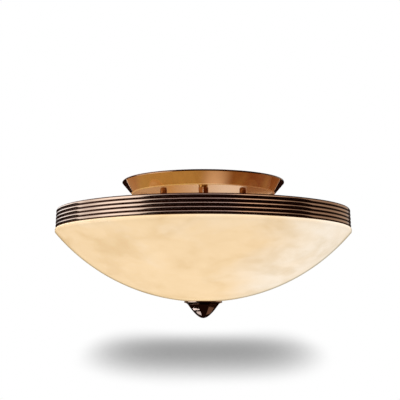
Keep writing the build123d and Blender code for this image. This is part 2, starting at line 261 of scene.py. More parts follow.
@dataclass(frozen=True)
class ReededMetal(Metal):
    """Turned metal whose reeds get painted shade, darker and duller, towards the grooves between them."""

    # Colour and roughness of the painted shade in the grooves.
    groove_shade: str = "3d1c0e"
    groove_shade_roughness: float = 0.5
    top_mm: float = -48.0
    pitch_mm: float = 5.6
    clean_share: float = 0.28
    dark_share: float = 0.66

    def paint(self, tree: bpy.types.NodeTree) -> dict[str, Any]:
        """Paint shade towards each groove: darken and dull the metal there.

        Args:
            tree: the material's node tree.

        Returns:
            The shader's inputs by name.
        """
        inputs = super().paint(tree)
        place = add_node(tree, "TexCoord").outputs["Object"]
        height = add_node(tree, "SeparateXYZ", inputs={0: place}).outputs["Z"]
        # The range spans two reeds, so that a quarter of it is half a reed.
        span = {0: height, 1: self.top_mm * MM, 2: (self.top_mm - 2 * self.pitch_mm) * MM}
        half_reed = 0.25
        reed = add_node(tree, "MapRange", {"clamp": False}, span)
        fold = add_node(tree, "Math", {"operation": "PINGPONG"}, {0: reed, 1: half_reed})
        dark, clean = ((1 - share) * half_reed for share in (self.dark_share, self.clean_share))
        # How much painted shade each height gets, most at the grooves.
        groove = add_node(tree, "MapRange", SMOOTH, {0: fold, 1: dark, 2: clean, 3: 1.0, 4: 0.0})
        for name, kind, value in (
            ("Base Color", "RGBA", linear(self.groove_shade)),
            ("Roughness", "FLOAT", self.groove_shade_roughness),
        ):
            mix = {"Factor": groove, "A": inputs[name], "B": value}
            inputs[name] = add_node(tree, "Mix", {"data_type": kind}, mix)
        return inputs


@dataclass(frozen=True)
class Alabaster(Finish):
    """Pressed glass with cream clouds in its body, acid-etched to a satin skin; the light from the lamps
    behind it is painted as a glow.
    """

    cream: str
    pale: str
    smoke: str
    glow: str
    pale_glow: str
    # Painted light and shade from side to side: where it turns, over what spread, and how it leans with
    # height.
    turn_mm: float
    # Painted light: the glow's strength by height, as pairs of level and share.
    levels: tuple[tuple[float, float], ...]
    spread_mm: float = 75.0
    lean: float = 0.0
    sizes_mm: Triple = (120.0, 52.0, 20.0)
    swirls: Triple = (0.4, 0.35, 0.6)
    squash: Triple = (0.8, 0.8, 1.9)
    detail: float = 3.5
    grain: float = 0.52
    drift: tuple[float, float] = (1.9, -1.02)
    smoke_span: tuple[float, float] = (0.42, 0.74)
    smoke_most: float = 0.5
    haze: tuple[float, float] = (0.5, -0.18)
    # Painted shade where the skin is seen edge-on: tints by facing.
    edge: Tones = ()
    # Painted light and shade near the rim, by distance across the bowl, over a span of heights.
    rim_tones: Tones = ()
    rim_span_mm: tuple[float, float] = (-108.0, -80.0)
    # A painted streak of light: its colour, middle, half sizes and core.
    streak: str = ""
    streak_place_mm: Triple = (46.0, -146.0, -150.0)
    streak_half_mm: Triple = (72.0, 70.0, 60.0)
    streak_core: float = 0.1
    roughness: float = 0.42
    ior: float = 1.5

    def clouds(self, tree: bpy.types.NodeTree, place: bpy.types.NodeSocket) -> tuple[bpy.types.Node, ...]:
        """Draw the clouds in the glass, with smoke and wisps among them, and a painted shift of light from
        one side to the other.

        Args:
            tree: the material's node tree.
            place: position on the bowl.

        Returns:
            How far the glass goes towards its pale tones, from its clouds and the painted side light, and how
            murky it is, each from 0 to 1.
        """
        axes = add_node(tree, "SeparateXYZ", inputs={0: place}).outputs
        flat = add_node(tree, "Mapping", inputs={"Vector": place, "Scale": self.squash})
        noises: list[bpy.types.Node] = []
        for size, swirl in zip(self.sizes_mm, self.swirls):
            pattern = {"Vector": flat, "Scale": 1 / (size * MM), "Distortion": swirl}
            pattern |= {"Detail": self.detail, "Roughness": self.grain}
            noises.append(add_node(tree, "TexNoise", inputs=pattern))
        # Painted light and shade from side to side: outside the glass turns paler towards the right, inside
        # darker.
        across = add_node(tree, "Math", SCALE_AND_ADD, {0: axes["Z"], 1: -self.lean, 2: axes["X"]})
        start, end = ((self.turn_mm + sign * self.spread_mm) * MM for sign in (-1, 1))
        side = add_node(tree, "MapRange", SMOOTH, {0: across, 1: start, 2: end})
        drift = add_node(tree, "Math", SCALE_AND_ADD, {0: noises[0], 1: self.drift[0], 2: self.drift[1]})
        low, high = self.smoke_span
        smoke = add_node(tree, "MapRange", SMOOTH, {0: noises[1], 1: low, 2: high, 4: self.smoke_most})
        clamped = SCALE_AND_ADD | {"use_clamp": True}
        haze = add_node(tree, "Math", clamped, {0: noises[2], 1: self.haze[0], 2: self.haze[1]})
        paleness = add_node(tree, "Math", CLAMPED_SUM, {0: side, 1: drift})
        return paleness, add_node(tree, "Math", CLAMPED_SUM, {0: smoke, 1: haze})

    def tint(
        self, tree: bpy.types.NodeTree, place: bpy.types.NodeSocket, glow: bpy.types.Node
    ) -> bpy.types.Node:
        """Tint the glow with painted light and shade near the rim, a painted streak of light, and painted
        shade where the skin is seen edge-on.

        Args:
            tree: the material's node tree.
            place: position on the bowl.
            glow: colour of the plain glow.

        Returns:
            The node that gives the tinted glow.
        """
        axes = add_node(tree, "SeparateXYZ", inputs={0: place}).outputs
        # Painted light and shade near the rim.
        if self.rim_tones:
            tone = tones_along(tree, axes["X"], [(x, linear(colour)) for x, colour in self.rim_tones])
            low, high = self.rim_span_mm
            rise = add_node(tree, "MapRange", SMOOTH, {0: axes["Z"], 1: low * MM, 2: high * MM})
            glow = add_node(tree, "Mix", RGBA, {"Factor": rise, "A": glow, "B": tone})
        # A painted streak of light.
        if self.streak:
            middle = Vector(self.streak_place_mm) * MM
            oval = {
                "Vector": place,
                "Location": middle,
                "Rotation": (0.0, 0.0, math.atan2(middle.x, -middle.y)),
                "Scale": Vector(self.streak_half_mm) * MM,
            }
            local = add_node(tree, "Mapping", {"vector_type": "TEXTURE"}, oval)
            away = add_node(tree, "VectorMath", LENGTH, {0: local})
            near = add_node(tree, "MapRange", SMOOTH, {0: away, 1: self.streak_core, 2: 1.0, 3: 1.0, 4: 0.0})
            glow = add_node(tree, "Mix", RGBA, {"Factor": near, "A": glow, "B": linear(self.streak)})
        # Painted shade on the glow where the skin is seen edge-on.
        if self.edge:
            facing = add_node(tree, "LayerWeight", inputs={"Blend": 0.5}).outputs["Facing"]
            tints = [(share, linear(colour)) for share, colour in self.edge]
            skin = add_node(tree, "ValToRGB", inputs={"Fac": facing}, stops=tints)
            glow = add_node(tree, "VectorMath", MULTIPLY, {0: glow, 1: skin})
        return glow

    def paint(self, tree: bpy.types.NodeTree) -> dict[str, Any]:
        """Let clouds and smoke vary the colour and the painted glow, and the level vary the painted glow
        alone.

        Args:
            tree: the material's node tree.

        Returns:
            The shader's inputs by name.
        """
        place = add_node(tree, "TexCoord").outputs["Object"]
        height = add_node(tree, "SeparateXYZ", inputs={0: place}).outputs["Z"]
        paleness, murk = self.clouds(tree, place)
        tones: list[bpy.types.Node] = []
        for cream, pale in ((self.cream, self.pale), (self.glow, self.pale_glow)):
            body = add_node(tree, "Mix", RGBA, {"Factor": paleness, "A": linear(cream), "B": linear(pale)})
            mix = {"Factor": murk, "A": body, "B": linear(self.smoke)}
            tones.append(add_node(tree, "Mix", RGBA | {"blend_type": "MULTIPLY"}, mix))
        # The painted glow's strength follows the levels by height.
        peak = max(share for _, share in self.levels)
        greys = [(z, (*(share / peak,) * 3, 1.0)) for z, share in self.levels]
        glow = {0: self.tint(tree, place, tones[1]), 1: tones_along(tree, height, greys)}
        return {
            "Base Color": tones[0],
            "Emission Color": add_node(tree, "VectorMath", MULTIPLY, glow),
            "Emission Strength": peak,
            "Roughness": self.roughness,
            "IOR": self.ior,
        }


@dataclass(frozen=True)
class Moulded(Finish):
    """A non-metal skin: moulded rubber or nylon, or fired glaze, with a fine grain and some colour drift."""

    colour: str
    shade: str
    roughness: float
    # The grain that a mould leaves on rubber and nylon is finer, and is drawn coarser so that it shows.
    grain_mm: float
    grain_depth: float
    grain_span: tuple[float, float] = (0.3, 0.7)
    grain_height_mm: float = 0.3
    grain_swing: float = 0.15
    coat: float = 0.0
    coat_roughness: float = 0.08
    # Painted light: a glow, as emission, for a part that is no lamp.
    glow: float = 0.0

    def paint(self, tree: bpy.types.NodeTree) -> dict[str, Any]:
        """Let the grain vary colour, roughness and bump, and add any painted glow.

        Args:
            tree: the material's node tree.

        Returns:
            The shader's inputs by name.
        """
        place = add_node(tree, "TexCoord").outputs["Object"]
        pattern = {"Vector": place, "Scale": 1 / (self.grain_mm * MM), "Detail": 4.0}
        grain = add_node(tree, "TexNoise", inputs=pattern)
        stops = list(zip(self.grain_span, (linear(self.shade), linear(self.colour))))
        low, high = (self.roughness * (1 + sign * self.grain_swing) for sign in (-1, 1))
        relief = {"Strength": self.grain_depth, "Distance": self.grain_height_mm * MM, "Height": grain}
        return {
            "Base Color": add_node(tree, "ValToRGB", inputs={"Fac": grain}, stops=stops),
            "Roughness": add_node(tree, "MapRange", inputs={0: grain, 3: low, 4: high}),
            "Normal": add_node(tree, "Bump", inputs=relief),
            "Coat Weight": self.coat,
            "Coat Roughness": self.coat_roughness,
            "Emission Color": linear(self.colour),
            "Emission Strength": self.glow,
        }


@dataclass(frozen=True)
class LitGlass(Finish):
    """Bulb glass frosted inside and lit, brightest at its round end."""

    hot: str
    warm: str
    strength: float
    middle_mm: float = 95.0
    reach_mm: float = 45.0
    roughness: float = 0.3

    def paint(self, tree: bpy.types.NodeTree) -> dict[str, Any]:
        """Let the glow rise away from the stem.

        Args:
            tree: the material's node tree.

        Returns:
            The shader's inputs by name.
        """
        place = add_node(tree, "TexCoord").outputs["Object"]
        distance = add_node(tree, "VectorMath", LENGTH, {0: place})
        start, end = ((self.middle_mm + sign * self.reach_mm) * MM for sign in (-1, 1))
        share = add_node(tree, "MapRange", SMOOTH, {0: distance, 1: start, 2: end})
        stops = [(0.0, linear(self.warm)), (1.0, linear(self.hot))]
        return {
            "Base Color": linear(self.hot),
            "Emission Color": add_node(tree, "ValToRGB", inputs={"Fac": share}, stops=stops),
            "Emission Strength": self.strength,
            "Roughness": self.roughness,
        }


# Plated bronze, buffed and lacquered: a dark mirror that takes its tone from what it reflects.
BRONZE = Metal(
    "lacquered_bronze", Slot.BRONZE, "bda796", "ad9583", 0.08, patch_mm=55.0, ring_depth=0.015, coat=0.3
)
# The band is the same bronze, with painted shade darkening and dulling its grooves.
REEDED_BRONZE = ReededMetal(
    "lacquered_reeded_bronze", Slot.BRONZE, "bda796", "ad9583", 0.08, patch_mm=55.0, ring_depth=0.0
)
# The pan's bronze was spun and buffed brighter, so that it mirrors the lit bowl in gold.
PAN_BRONZE = Metal(
    "buffed_pan_bronze", Slot.BRONZE, "c8a27c", "bc956e", 0.07, patch_mm=55.0, ring_depth=0.015, coat=0.3
)
# The nuts and the coupling were brushed rather than buffed: brown, with a soft sheen.
BRUSHED_BRONZE = Metal("brushed_bronze", Slot.BRONZE, "ae7440", "90592c", 0.34, patch_mm=14.0)
# Painted shade: a dark bronze for the hem's edge, the lower washer, the finial's cove and its flange's upper
# edge.
SHADE_BRONZE = Metal("painted_shade_bronze", Slot.BRONZE, "5c3d2c", "452b1e", 0.16, patch_mm=14.0)
# Painted highlight: a pale bronze with a soft sheen, on the pan's foot edge and the coupling's corners.
HIGHLIGHT_BRONZE = Metal("painted_highlight_bronze", Slot.BRONZE, "f6e2cc", "ecd2b6", 0.36, patch_mm=6.0)
# Free-cutting brass off the lathe: warm, bright and lightly ringed.
BRASS = Metal("turned_brass", Slot.BRASS, "d9b36b", "b98d48", 0.2, ring_depth=0.15)
# Bright zinc on pressed and drawn steel: cool grey with a soft mottle.
STEEL = Metal("zinc_plated_steel", Slot.STEEL, "c9cac8", "a9aaa6", 0.3, patch_mm=9.0, ring_depth=0.1)
# Aluminium drawn into a thin shell: pale grey with a satin shine.
ALUMINIUM = Metal("drawn_aluminium", Slot.ALUMINIUM, "d9d9d7", "bfbfbc", 0.26, patch_mm=12.0)
# Solder that set as a blob: grey, dull and cloudy.
SOLDER = Metal("tin_solder", Slot.SOLDER, "b9b9b6", "8f8f8c", 0.35, patch_mm=3.0)
# Dyed zinc: the green that marks an earth screw.
GREEN = Metal("green_dyed_zinc", Slot.GREEN, "2f8f45", "1f6a33", 0.35, patch_mm=4.0)
# Black rubber from a mould: matt, with a fine grain.
RUBBER = Moulded("moulded_rubber", Slot.RUBBER, "2b2826", "1d1b1a", 0.7, 1.2, 0.25)
# Clear silicone with a painted glow, standing in for the bowl's light on the gasket; it is no lamp.
SILICONE = Moulded("moulded_silicone", Slot.RUBBER, "d9b080", "c99c6a", 0.4, 2.0, 0.05, glow=0.55)
# Black nylon from a mould: darker than the rubber and less dull.
NYLON = Moulded("moulded_nylon", Slot.NYLON, "232222", "181717", 0.45, 0.8, 0.12)
# Glazed porcelain: near white with a wet gloss over faint drift.
PORCELAIN = Moulded("glazed_porcelain", Slot.PORCELAIN, "efece4", "e4dfd3", 0.22, 14.0, 0.03, coat=0.4)
# Black glass pressed into the bulb's base: near black and glossy.
BLACK_GLASS = Moulded("black_base_glass", Slot.BLACK_GLASS, "17171a", "0f0f11", 0.12, 6.0, 0.02)
# The bowl's outside, with a painted glow: cream on the left, paler on the right with painted light, the glow
# brighter below and at the lip's top edge and dimmer on the upright lip, and painted shade where seen
# edge-on.
ALABASTER = Alabaster(
    "etched_alabaster_glass",
    Slot.ALABASTER,
    cream="e4c79c",
    pale="e6dac8",
    smoke="e5dcc8",
    glow="dcc29c",
    pale_glow="e1d5c5",
    turn_mm=183.0,
    lean=0.8,
    edge=((0.8, "ffffff"), (0.87, "fffffc"), (0.915, "b9bbb2"), (1.0, "8c9089")),
    levels=(
        (-188.0, 1.13),
        (-181.0, 1.06),
        (-168.0, 1.01),
        (-110.0, 0.95),
        (-86.0, 0.93),
        (-82.5, 0.88),
        (-79.8, 0.88),
        (-78.4, 1.06),
        (-76.0, 1.06),
    ),
)
# The bowl's inside face, close to the lamps: the same glass with a warmer painted glow, painted shade towards
# the right, painted light and shade near the rim, and a painted streak of light.
ALABASTER_INSIDE = Alabaster(
    "etched_alabaster_inside",
    Slot.ALABASTER,
    cream="a98a5c",
    pale="8f6238",
    smoke="ece2d2",
    glow="b3a163",
    pale_glow="683c1e",
    turn_mm=30.0,
    spread_mm=150.0,
    levels=((-190.0, 1.0), (-50.0, 1.0)),
    rim_tones=(
        (-72.0, "a28364"),
        (-60.0, "a87a46"),
        (40.0, "dac8b2"),
        (68.0, "dccab4"),
        (80.0, "5a321c"),
        (155.0, "744a28"),
    ),
    streak="eedfca",
)
# Bulb glass frosted inside: a soft warm glow without a sharp filament.
BULB_GLASS = LitGlass("frosted_bulb_glass", Slot.BULB_GLASS, hot="e4bd7c", warm="d6a25a", strength=0.46)
# A bulb near the end of its life, dimmer and redder than its neighbours.
OLD_BULB_GLASS = LitGlass("aged_bulb_glass", Slot.BULB_GLASS, hot="a8764a", warm="8f5c36", strength=0.42)


def link_object(name: str, data: bpy.types.ID) -> bpy.types.Object:
    """Make an object and link it to the scene.

    Args:
        name: object name.
        data: its mesh, light or camera.

    Returns:
        The new object.
    """
    made = bpy.data.objects.new(name, data)
    bpy.context.scene.collection.objects.link(made)
    return made


def make_piece(
    name: str, points: Sequence[Sequence[float]], faces: Sequence[Sequence[int]]
) -> bpy.types.Object:
    """Make a smooth mesh object with crisp edges.

    Args:
        name: piece name.
        points: vertex positions in metres.
        faces: vertex numbers of each face.

    Returns:
        The new object, linked to the scene.
    """
    mesh = bpy.data.meshes.new(name)
    mesh.from_pydata([tuple(point) for point in points], [], [tuple(face) for face in faces])
    work = bmesh.new()
    work.from_mesh(mesh)
    bmesh.ops.recalc_face_normals(work, faces=work.faces[:])
    work.to_mesh(mesh)
    work.free()
    mesh.polygons.foreach_set("use_smooth", [True] * len(mesh.polygons))
    mesh.set_sharp_from_angle(angle=CRISP_ANGLE)
    return link_object(name, mesh)


def spot(radius: float, turn: float, height: float) -> Triple:
    """Point in metres at a radius, a turn in radians and a height about the z axis."""
    return (radius * math.cos(turn) * MM, radius * math.sin(turn) * MM, height * MM)


def loop_faces(rows: int, count: int) -> list[tuple[int, ...]]:
    """Join rows of points round an axis, and the last row to the first.

    Args:
        rows: number of rows.
        count: points in each row.

    Returns:
        Point numbers of each face.
    """
    faces: list[tuple[int, ...]] = []
    for row in range(rows):
        here, above = row * count, (row + 1) % rows * count
        for step in range(count):
            around = (step + 1) % count
            faces.append((here + step, here + around, above + around, above + step))
    return faces


def softened(corners: Sequence[Triple], steps: int = 4) -> Profile:
    """Round the corners of a closed profile.

    Args:
        corners: radius, height and edge rounding of each corner.
        steps: chords in each rounding.

    Returns:
        The profile's points.
    """
    points: Profile = []
    for number, (radius, height, edge) in enumerate(corners):
        here = Vector((radius, height))
        if edge == 0:
            points.append((radius, height))
            continue
        before = (Vector(corners[number - 1][:2]) - here).normalized()
        after = (Vector(corners[(number + 1) % len(corners)][:2]) - here).normalized()
        half = before.angle(after) / 2
        middle = here + (before + after).normalized() * edge / math.sin(half)
        start = (here + before * edge / math.tan(half) - middle).normalized()
        end = (here + after * edge / math.tan(half) - middle).normalized()
        for step in range(steps + 1):
            point = middle + start.slerp(end, step / steps) * edge
            points.append((point.x, point.y))
    return points


@dataclass(frozen=True)
class Groove:
    """A turned groove: its depth, half its width at mouth and floor, and the rounding of both."""

    depth: float
    mouth: float
    floor: float
    mouth_edge: float
    floor_edge: float

    def corners(self, radius: float, middle: float) -> list[Triple]:
        """Place the groove in an upright face.

        Args:
            radius: radius of the face.
            middle: level of the groove's middle.

        Returns:
            Radius, height and rounding of its corners, from below.
        """
        sunk = radius - self.depth
        return [
            (radius, middle - self.mouth, self.mouth_edge),
            (sunk, middle - self.floor, self.floor_edge),
            (sunk, middle + self.floor, self.floor_edge),
            (radius, middle + self.mouth, self.mouth_edge),
        ]


def arc(centre: tuple[float, float], radius: float, start: float, end: float, steps: int) -> Profile:
    """Points of an arc in a profile, with its angles in degrees from the radius axis."""
    turns = [math.radians(start + (end - start) * step / steps) for step in range(steps + 1)]
    return [(centre[0] + radius * math.cos(turn), centre[1] + radius * math.sin(turn)) for turn in turns]


def dome_arc(middle: float, radius: float, start: float, end: float, steps: int) -> Profile:
    """Points of a dome's face between two distances from the stem, from its centre's level and its radius."""
    first, last = (math.degrees(math.asin(distance / radius)) - 90 for distance in (start, end))
    return arc((0.0, middle), radius, first, last, steps)


def bezier(controls: Sequence[Vector], steps: int) -> Profile:
    """Points of a cubic curve in a profile, from its four control points."""
    curve = geometry.interpolate_bezier(*controls, steps + 1)
    return [(point.x, point.y) for point in curve]


def turned(name: str, profile: Profile, segments: int = 96) -> bpy.types.Object:
    """Spin a closed profile about the z axis, as a lathe does.

    Args:
        name: piece name.
        profile: radius and height of each point.
        segments: steps round the axis.

    Returns:
        The turned piece.
    """
    points: list[Triple] = []
    rings: list[list[int]] = []
    for radius, height in profile:
        count = segments if radius > ON_AXIS else 1
        rings.append(list(range(len(points), len(points) + count)))
        points += [spot(radius, 2 * math.pi * step / segments, height) for step in range(count)]
    faces: list[list[int]] = []
    for lower, upper in zip(rings, rings[1:] + rings[:1]):
        for step in range(segments):
            around = (step + 1) % segments
            quad = [
                lower[step % len(lower)],
                lower[around % len(lower)],
                upper[around % len(upper)],
                upper[step % len(upper)],
            ]
            corners = list(dict.fromkeys(quad))
            if len(corners) > 2:
                faces.append(corners)
    return make_piece(name, points, faces)


def threaded(
    name: str,
    radius: float,
    depth: float,
    pitch: float,
    levels: tuple[float, float],
    bore: float = 0.01,
    segments: int = 20,
    rows_per_turn: int = 4,
) -> bpy.types.Object:
    """Make a rod with a real helical thread.

    Args:
        name: piece name.
        radius: radius of the thread's crests.
        depth: depth of the thread.
        pitch: rise of one turn.
        levels: lowest and highest level.
        bore: radius of the bore, which a solid rod has as a pinprick.
        segments: steps round the axis.
        rows_per_turn: rows of faces in one turn.

    Returns:
        The threaded rod.
    """
    base, top = levels
    count = max(2, round((top - base) / pitch * rows_per_turn))
    rows: list[tuple[float, float | None]] = [(base, bore), (base, radius - depth)]
    rows += [(base + (top - base) * row / count, None) for row in range(1, count)]
    rows += [(top, radius - depth), (top, bore)]
    points: list[Triple] = []
    for height, plain in rows:
        for step in range(segments):
            turn = 2 * math.pi * step / segments
            wave = 0.5 - 0.5 * math.cos(2 * math.pi * height / pitch - turn)
            points.append(spot(radius - depth * wave if plain is None else plain, turn, height))
    return make_piece(name, points, loop_faces(len(rows), segments))


@dataclass(frozen=True)
class HexNut:
    """A kind of hexagonal nut, with chamfered corners and a chamfered bore, and a corner to the front."""

    flats: float
    bore: float
    steps: int = 12
    seat_share: float = 0.96
    chamfer_slope: float = 30.0
    bevel: float = 0.5
    corner_turn: float = 30.0
    # Faces past this many degrees from a flat's middle, and this upright, get the painted highlight.
    highlight_from: float = 25.0
    upright: float = 0.3

    def make(self, name: str, base: float, top: float) -> bpy.types.Object:
        """Make one nut about the z axis.

        Args:
            name: piece name.
            base: lowest level.
            top: highest level.

        Returns:
            The nut.
        """
        count = 6 * self.steps
        seat = self.flats / 2 * self.seat_share
        mouth = self.bore + self.bevel
        columns: list[list[Triple]] = []
        for step in range(count):
            turn = 2 * math.pi * step / count
            side = self.flats / 2 / math.cos(turn % (math.pi / 3) - math.pi / 6)
            fall = (side - seat) * math.tan(math.radians(self.chamfer_slope))
            outline = [(self.bore, base + self.bevel), (mouth, base), (seat, base), (side, base + fall)]
            outline += [(side, top - fall), (seat, top), (mouth, top), (self.bore, top - self.bevel)]
            place = turn + math.radians(self.corner_turn)
            columns.append([spot(radius, place, height) for radius, height in outline])
        points = [point for row in zip(*columns) for point in row]
        return make_piece(name, points, loop_faces(len(columns[0]), count))

    def near_corner(self, face: bpy.types.MeshPolygon) -> bool:
        """Whether a face is upright and next to one of the nut's corners, where the coupling gets its painted
        highlight.
        """
        turn = math.degrees(math.atan2(face.center.y, face.center.x)) - self.corner_turn
        return abs(turn % 60 - 30) > self.highlight_from and abs(face.normal.z) < self.upright


def shift(piece: bpy.types.Object, x: float, y: float) -> bpy.types.Object:
    """Move a piece's points sideways by millimetres and return it."""
    piece.data.transform(Matrix.Translation((x * MM, y * MM, 0.0)))
    return piece


def joined(name: str, parts: Sequence[bpy.types.Object]) -> bpy.types.Object:
    """Join several pieces into one object.

    Args:
        name: name of the joined piece.
        parts: pieces to join, which are used up.

    Returns:
        The joined piece.
    """
    work = bmesh.new()
    for part in parts:
        work.from_mesh(part.data)
    mesh = bpy.data.meshes.new(name)
    work.to_mesh(mesh)
    work.free()
    mesh.set_sharp_from_angle(angle=CRISP_ANGLE)
    for part in parts:
        bpy.data.objects.remove(part)
    return link_object(name, mesh)


def add_piece(piece: bpy.types.Object, finish: Finish, body: Body, *nodes: str) -> bpy.types.Object:
    """Dress a piece, ride it on its body and let it stand for its CAD nodes.

    Args:
        piece: the piece, in place.
        finish: its surface.
        body: the body it moves with.
        nodes: CAD nodes that it stands for.

    Returns:
        The piece.
    """
    piece.data.materials.clear()
    piece.data.materials.append(finish.material())
    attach(piece, body.value)
    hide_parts(*nodes)
    LOG.info("%s rides on %s", piece.name, body.value)
    return piece


def dress_node(node: str, finish: Finish) -> None:
    """Give a CAD node that stays its procedural finish.

    Args:
        node: name of the node.
        finish: its surface.
    """
    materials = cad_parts[node].data.materials
    materials.clear()
    materials.append(finish.material())
    LOG.info("%s keeps its CAD shape", node)


def dress_faces(
    piece: bpy.types.Object, finish: Finish, chosen: Callable[[bpy.types.MeshPolygon], bool]
) -> None:
    """Give some faces of a dressed piece another finish.

    Args:
        piece: the piece.
        finish: the faces' surface.
        chosen: tells whether a face gets it.
    """
    piece.data.materials.append(finish.material())
    for face in piece.data.polygons:
        if chosen(face):
            face.material_index = len(piece.data.materials) - 1


def level_and_reach(face: bpy.types.MeshPolygon) -> tuple[float, float]:
    """Height of a face's middle and its distance from the stem's axis, in millimetres."""
    return face.center.z / MM, face.center.xy.length / MM


@dataclass
class CeilingPan:
    """Spun pan with a rolled hem, a flaring side and a flat floor."""

    rim_diameter: float = 253.0
    foot_diameter: float = 223.0
    height: float = 20.0
    hem_height: float = 2.5
    hem_edges: tuple[float, ...] = (1.3, 1.0, 0.35, 0.5)
    hem_step: float = 0.4
    sheet: float = 1.2
    foot_fillet: float = 1.4
    inner_foot_share: float = 0.72
    stem_hole_radius: float = 5.4
    bushing_offset: float = 46.0
    bushing_hole_radius: float = 6.5
    stud_x: float = 62.05
    stud_hole_radius: float = 2.5
    # Reach of the painted shade at the hem and of the painted highlight at the foot's edge.
    dark_hem: float = 1.9
    bright_foot: float = 1.15
    guards: tuple[float, float] = (1.5, 0.9)

    def shell(self) -> bpy.types.Object:
        """Turn the pan.

        Returns:
            The pan, without its small holes.
        """
        rim, foot = self.rim_diameter / 2, self.foot_diameter / 2
        low, high = Vector((foot, -self.height)), Vector((rim, -self.hem_height))
        slant = (high - low).normalized()
        floor_top = self.sheet - self.height
        corners = [
            (self.stem_hole_radius, -self.height, 0.0),
            # Rows next to the roundings keep the shading of the flat floor and the straight side straight.
            (foot - self.guards[0], -self.height, 0.0),
            (foot, -self.height, self.foot_fillet),
            (*(low + slant * self.guards[0]), 0.0),
            (*(high - slant * self.guards[1]), 0.0),
            (rim, -self.hem_height, self.hem_edges[0]),
            (rim, 0.0, self.hem_edges[1]),
            (rim - self.sheet, 0.0, self.hem_edges[2]),
            (rim - self.sheet, self.hem_step - self.hem_height, self.hem_edges[3]),
            (foot - self.sheet * self.inner_foot_share, floor_top, self.foot_fillet - self.sheet),
            (self.stem_hole_radius, floor_top, 0.0),
        ]
        return turned("pan_shell", softened(corners, steps=6), segments=192)

    def bore(self, pan: bpy.types.Object) -> None:
        """Bore the holes for the bushing and the studs.

        Args:
            pan: the turned pan.
        """
        drills: list[bpy.types.Object] = []
        for x, y, radius in (
            (0.0, self.bushing_offset, self.bushing_hole_radius),
            (self.stud_x, 0.0, self.stud_hole_radius),
            (-self.stud_x, 0.0, self.stud_hole_radius),
        ):
            low, high = -2 * self.height, self.height
            rod = turned("drill", [(0.0, low), (radius, low), (radius, high), (0.0, high)], segments=48)
            drills.append(shift(rod, x, y))
        drill = joined("drills", drills)
        holes = pan.modifiers.new("holes", "BOOLEAN")
        holes.object = drill
        holes.operation = "DIFFERENCE"
        holes.solver = "EXACT"
        shaped = pan.evaluated_get(bpy.context.evaluated_depsgraph_get())
        bored = bpy.data.meshes.new_from_object(shaped)
        bored.set_sharp_from_angle(angle=CRISP_ANGLE)
        pan.modifiers.clear()
        pan.data = bored
        bpy.data.objects.remove(drill)

    def on_hem(self, face: bpy.types.MeshPolygon) -> bool:
        """Whether a face is on the hem's edge, which gets painted shade."""
        return level_and_reach(face)[0] > -self.dark_hem

    def on_foot(self, face: bpy.types.MeshPolygon) -> bool:
        """Whether a face is on the foot's edge, which gets a painted highlight."""
        level, reach = level_and_reach(face)
        return level < self.bright_foot - self.height and reach > self.foot_diameter / 2 - self.bright_foot

    def build(self) -> None:
        """Make the pan and dress it, with painted shade on its hem and a painted highlight on its foot's
        edge.
        """
        pan = self.shell()
        self.bore(pan)
        add_piece(pan, PAN_BRONZE, Body.FIXTURE, "ceiling_pan")
        dress_faces(pan, SHADE_BRONZE, self.on_hem)
        dress_faces(pan, HIGHLIGHT_BRONZE, self.on_foot)


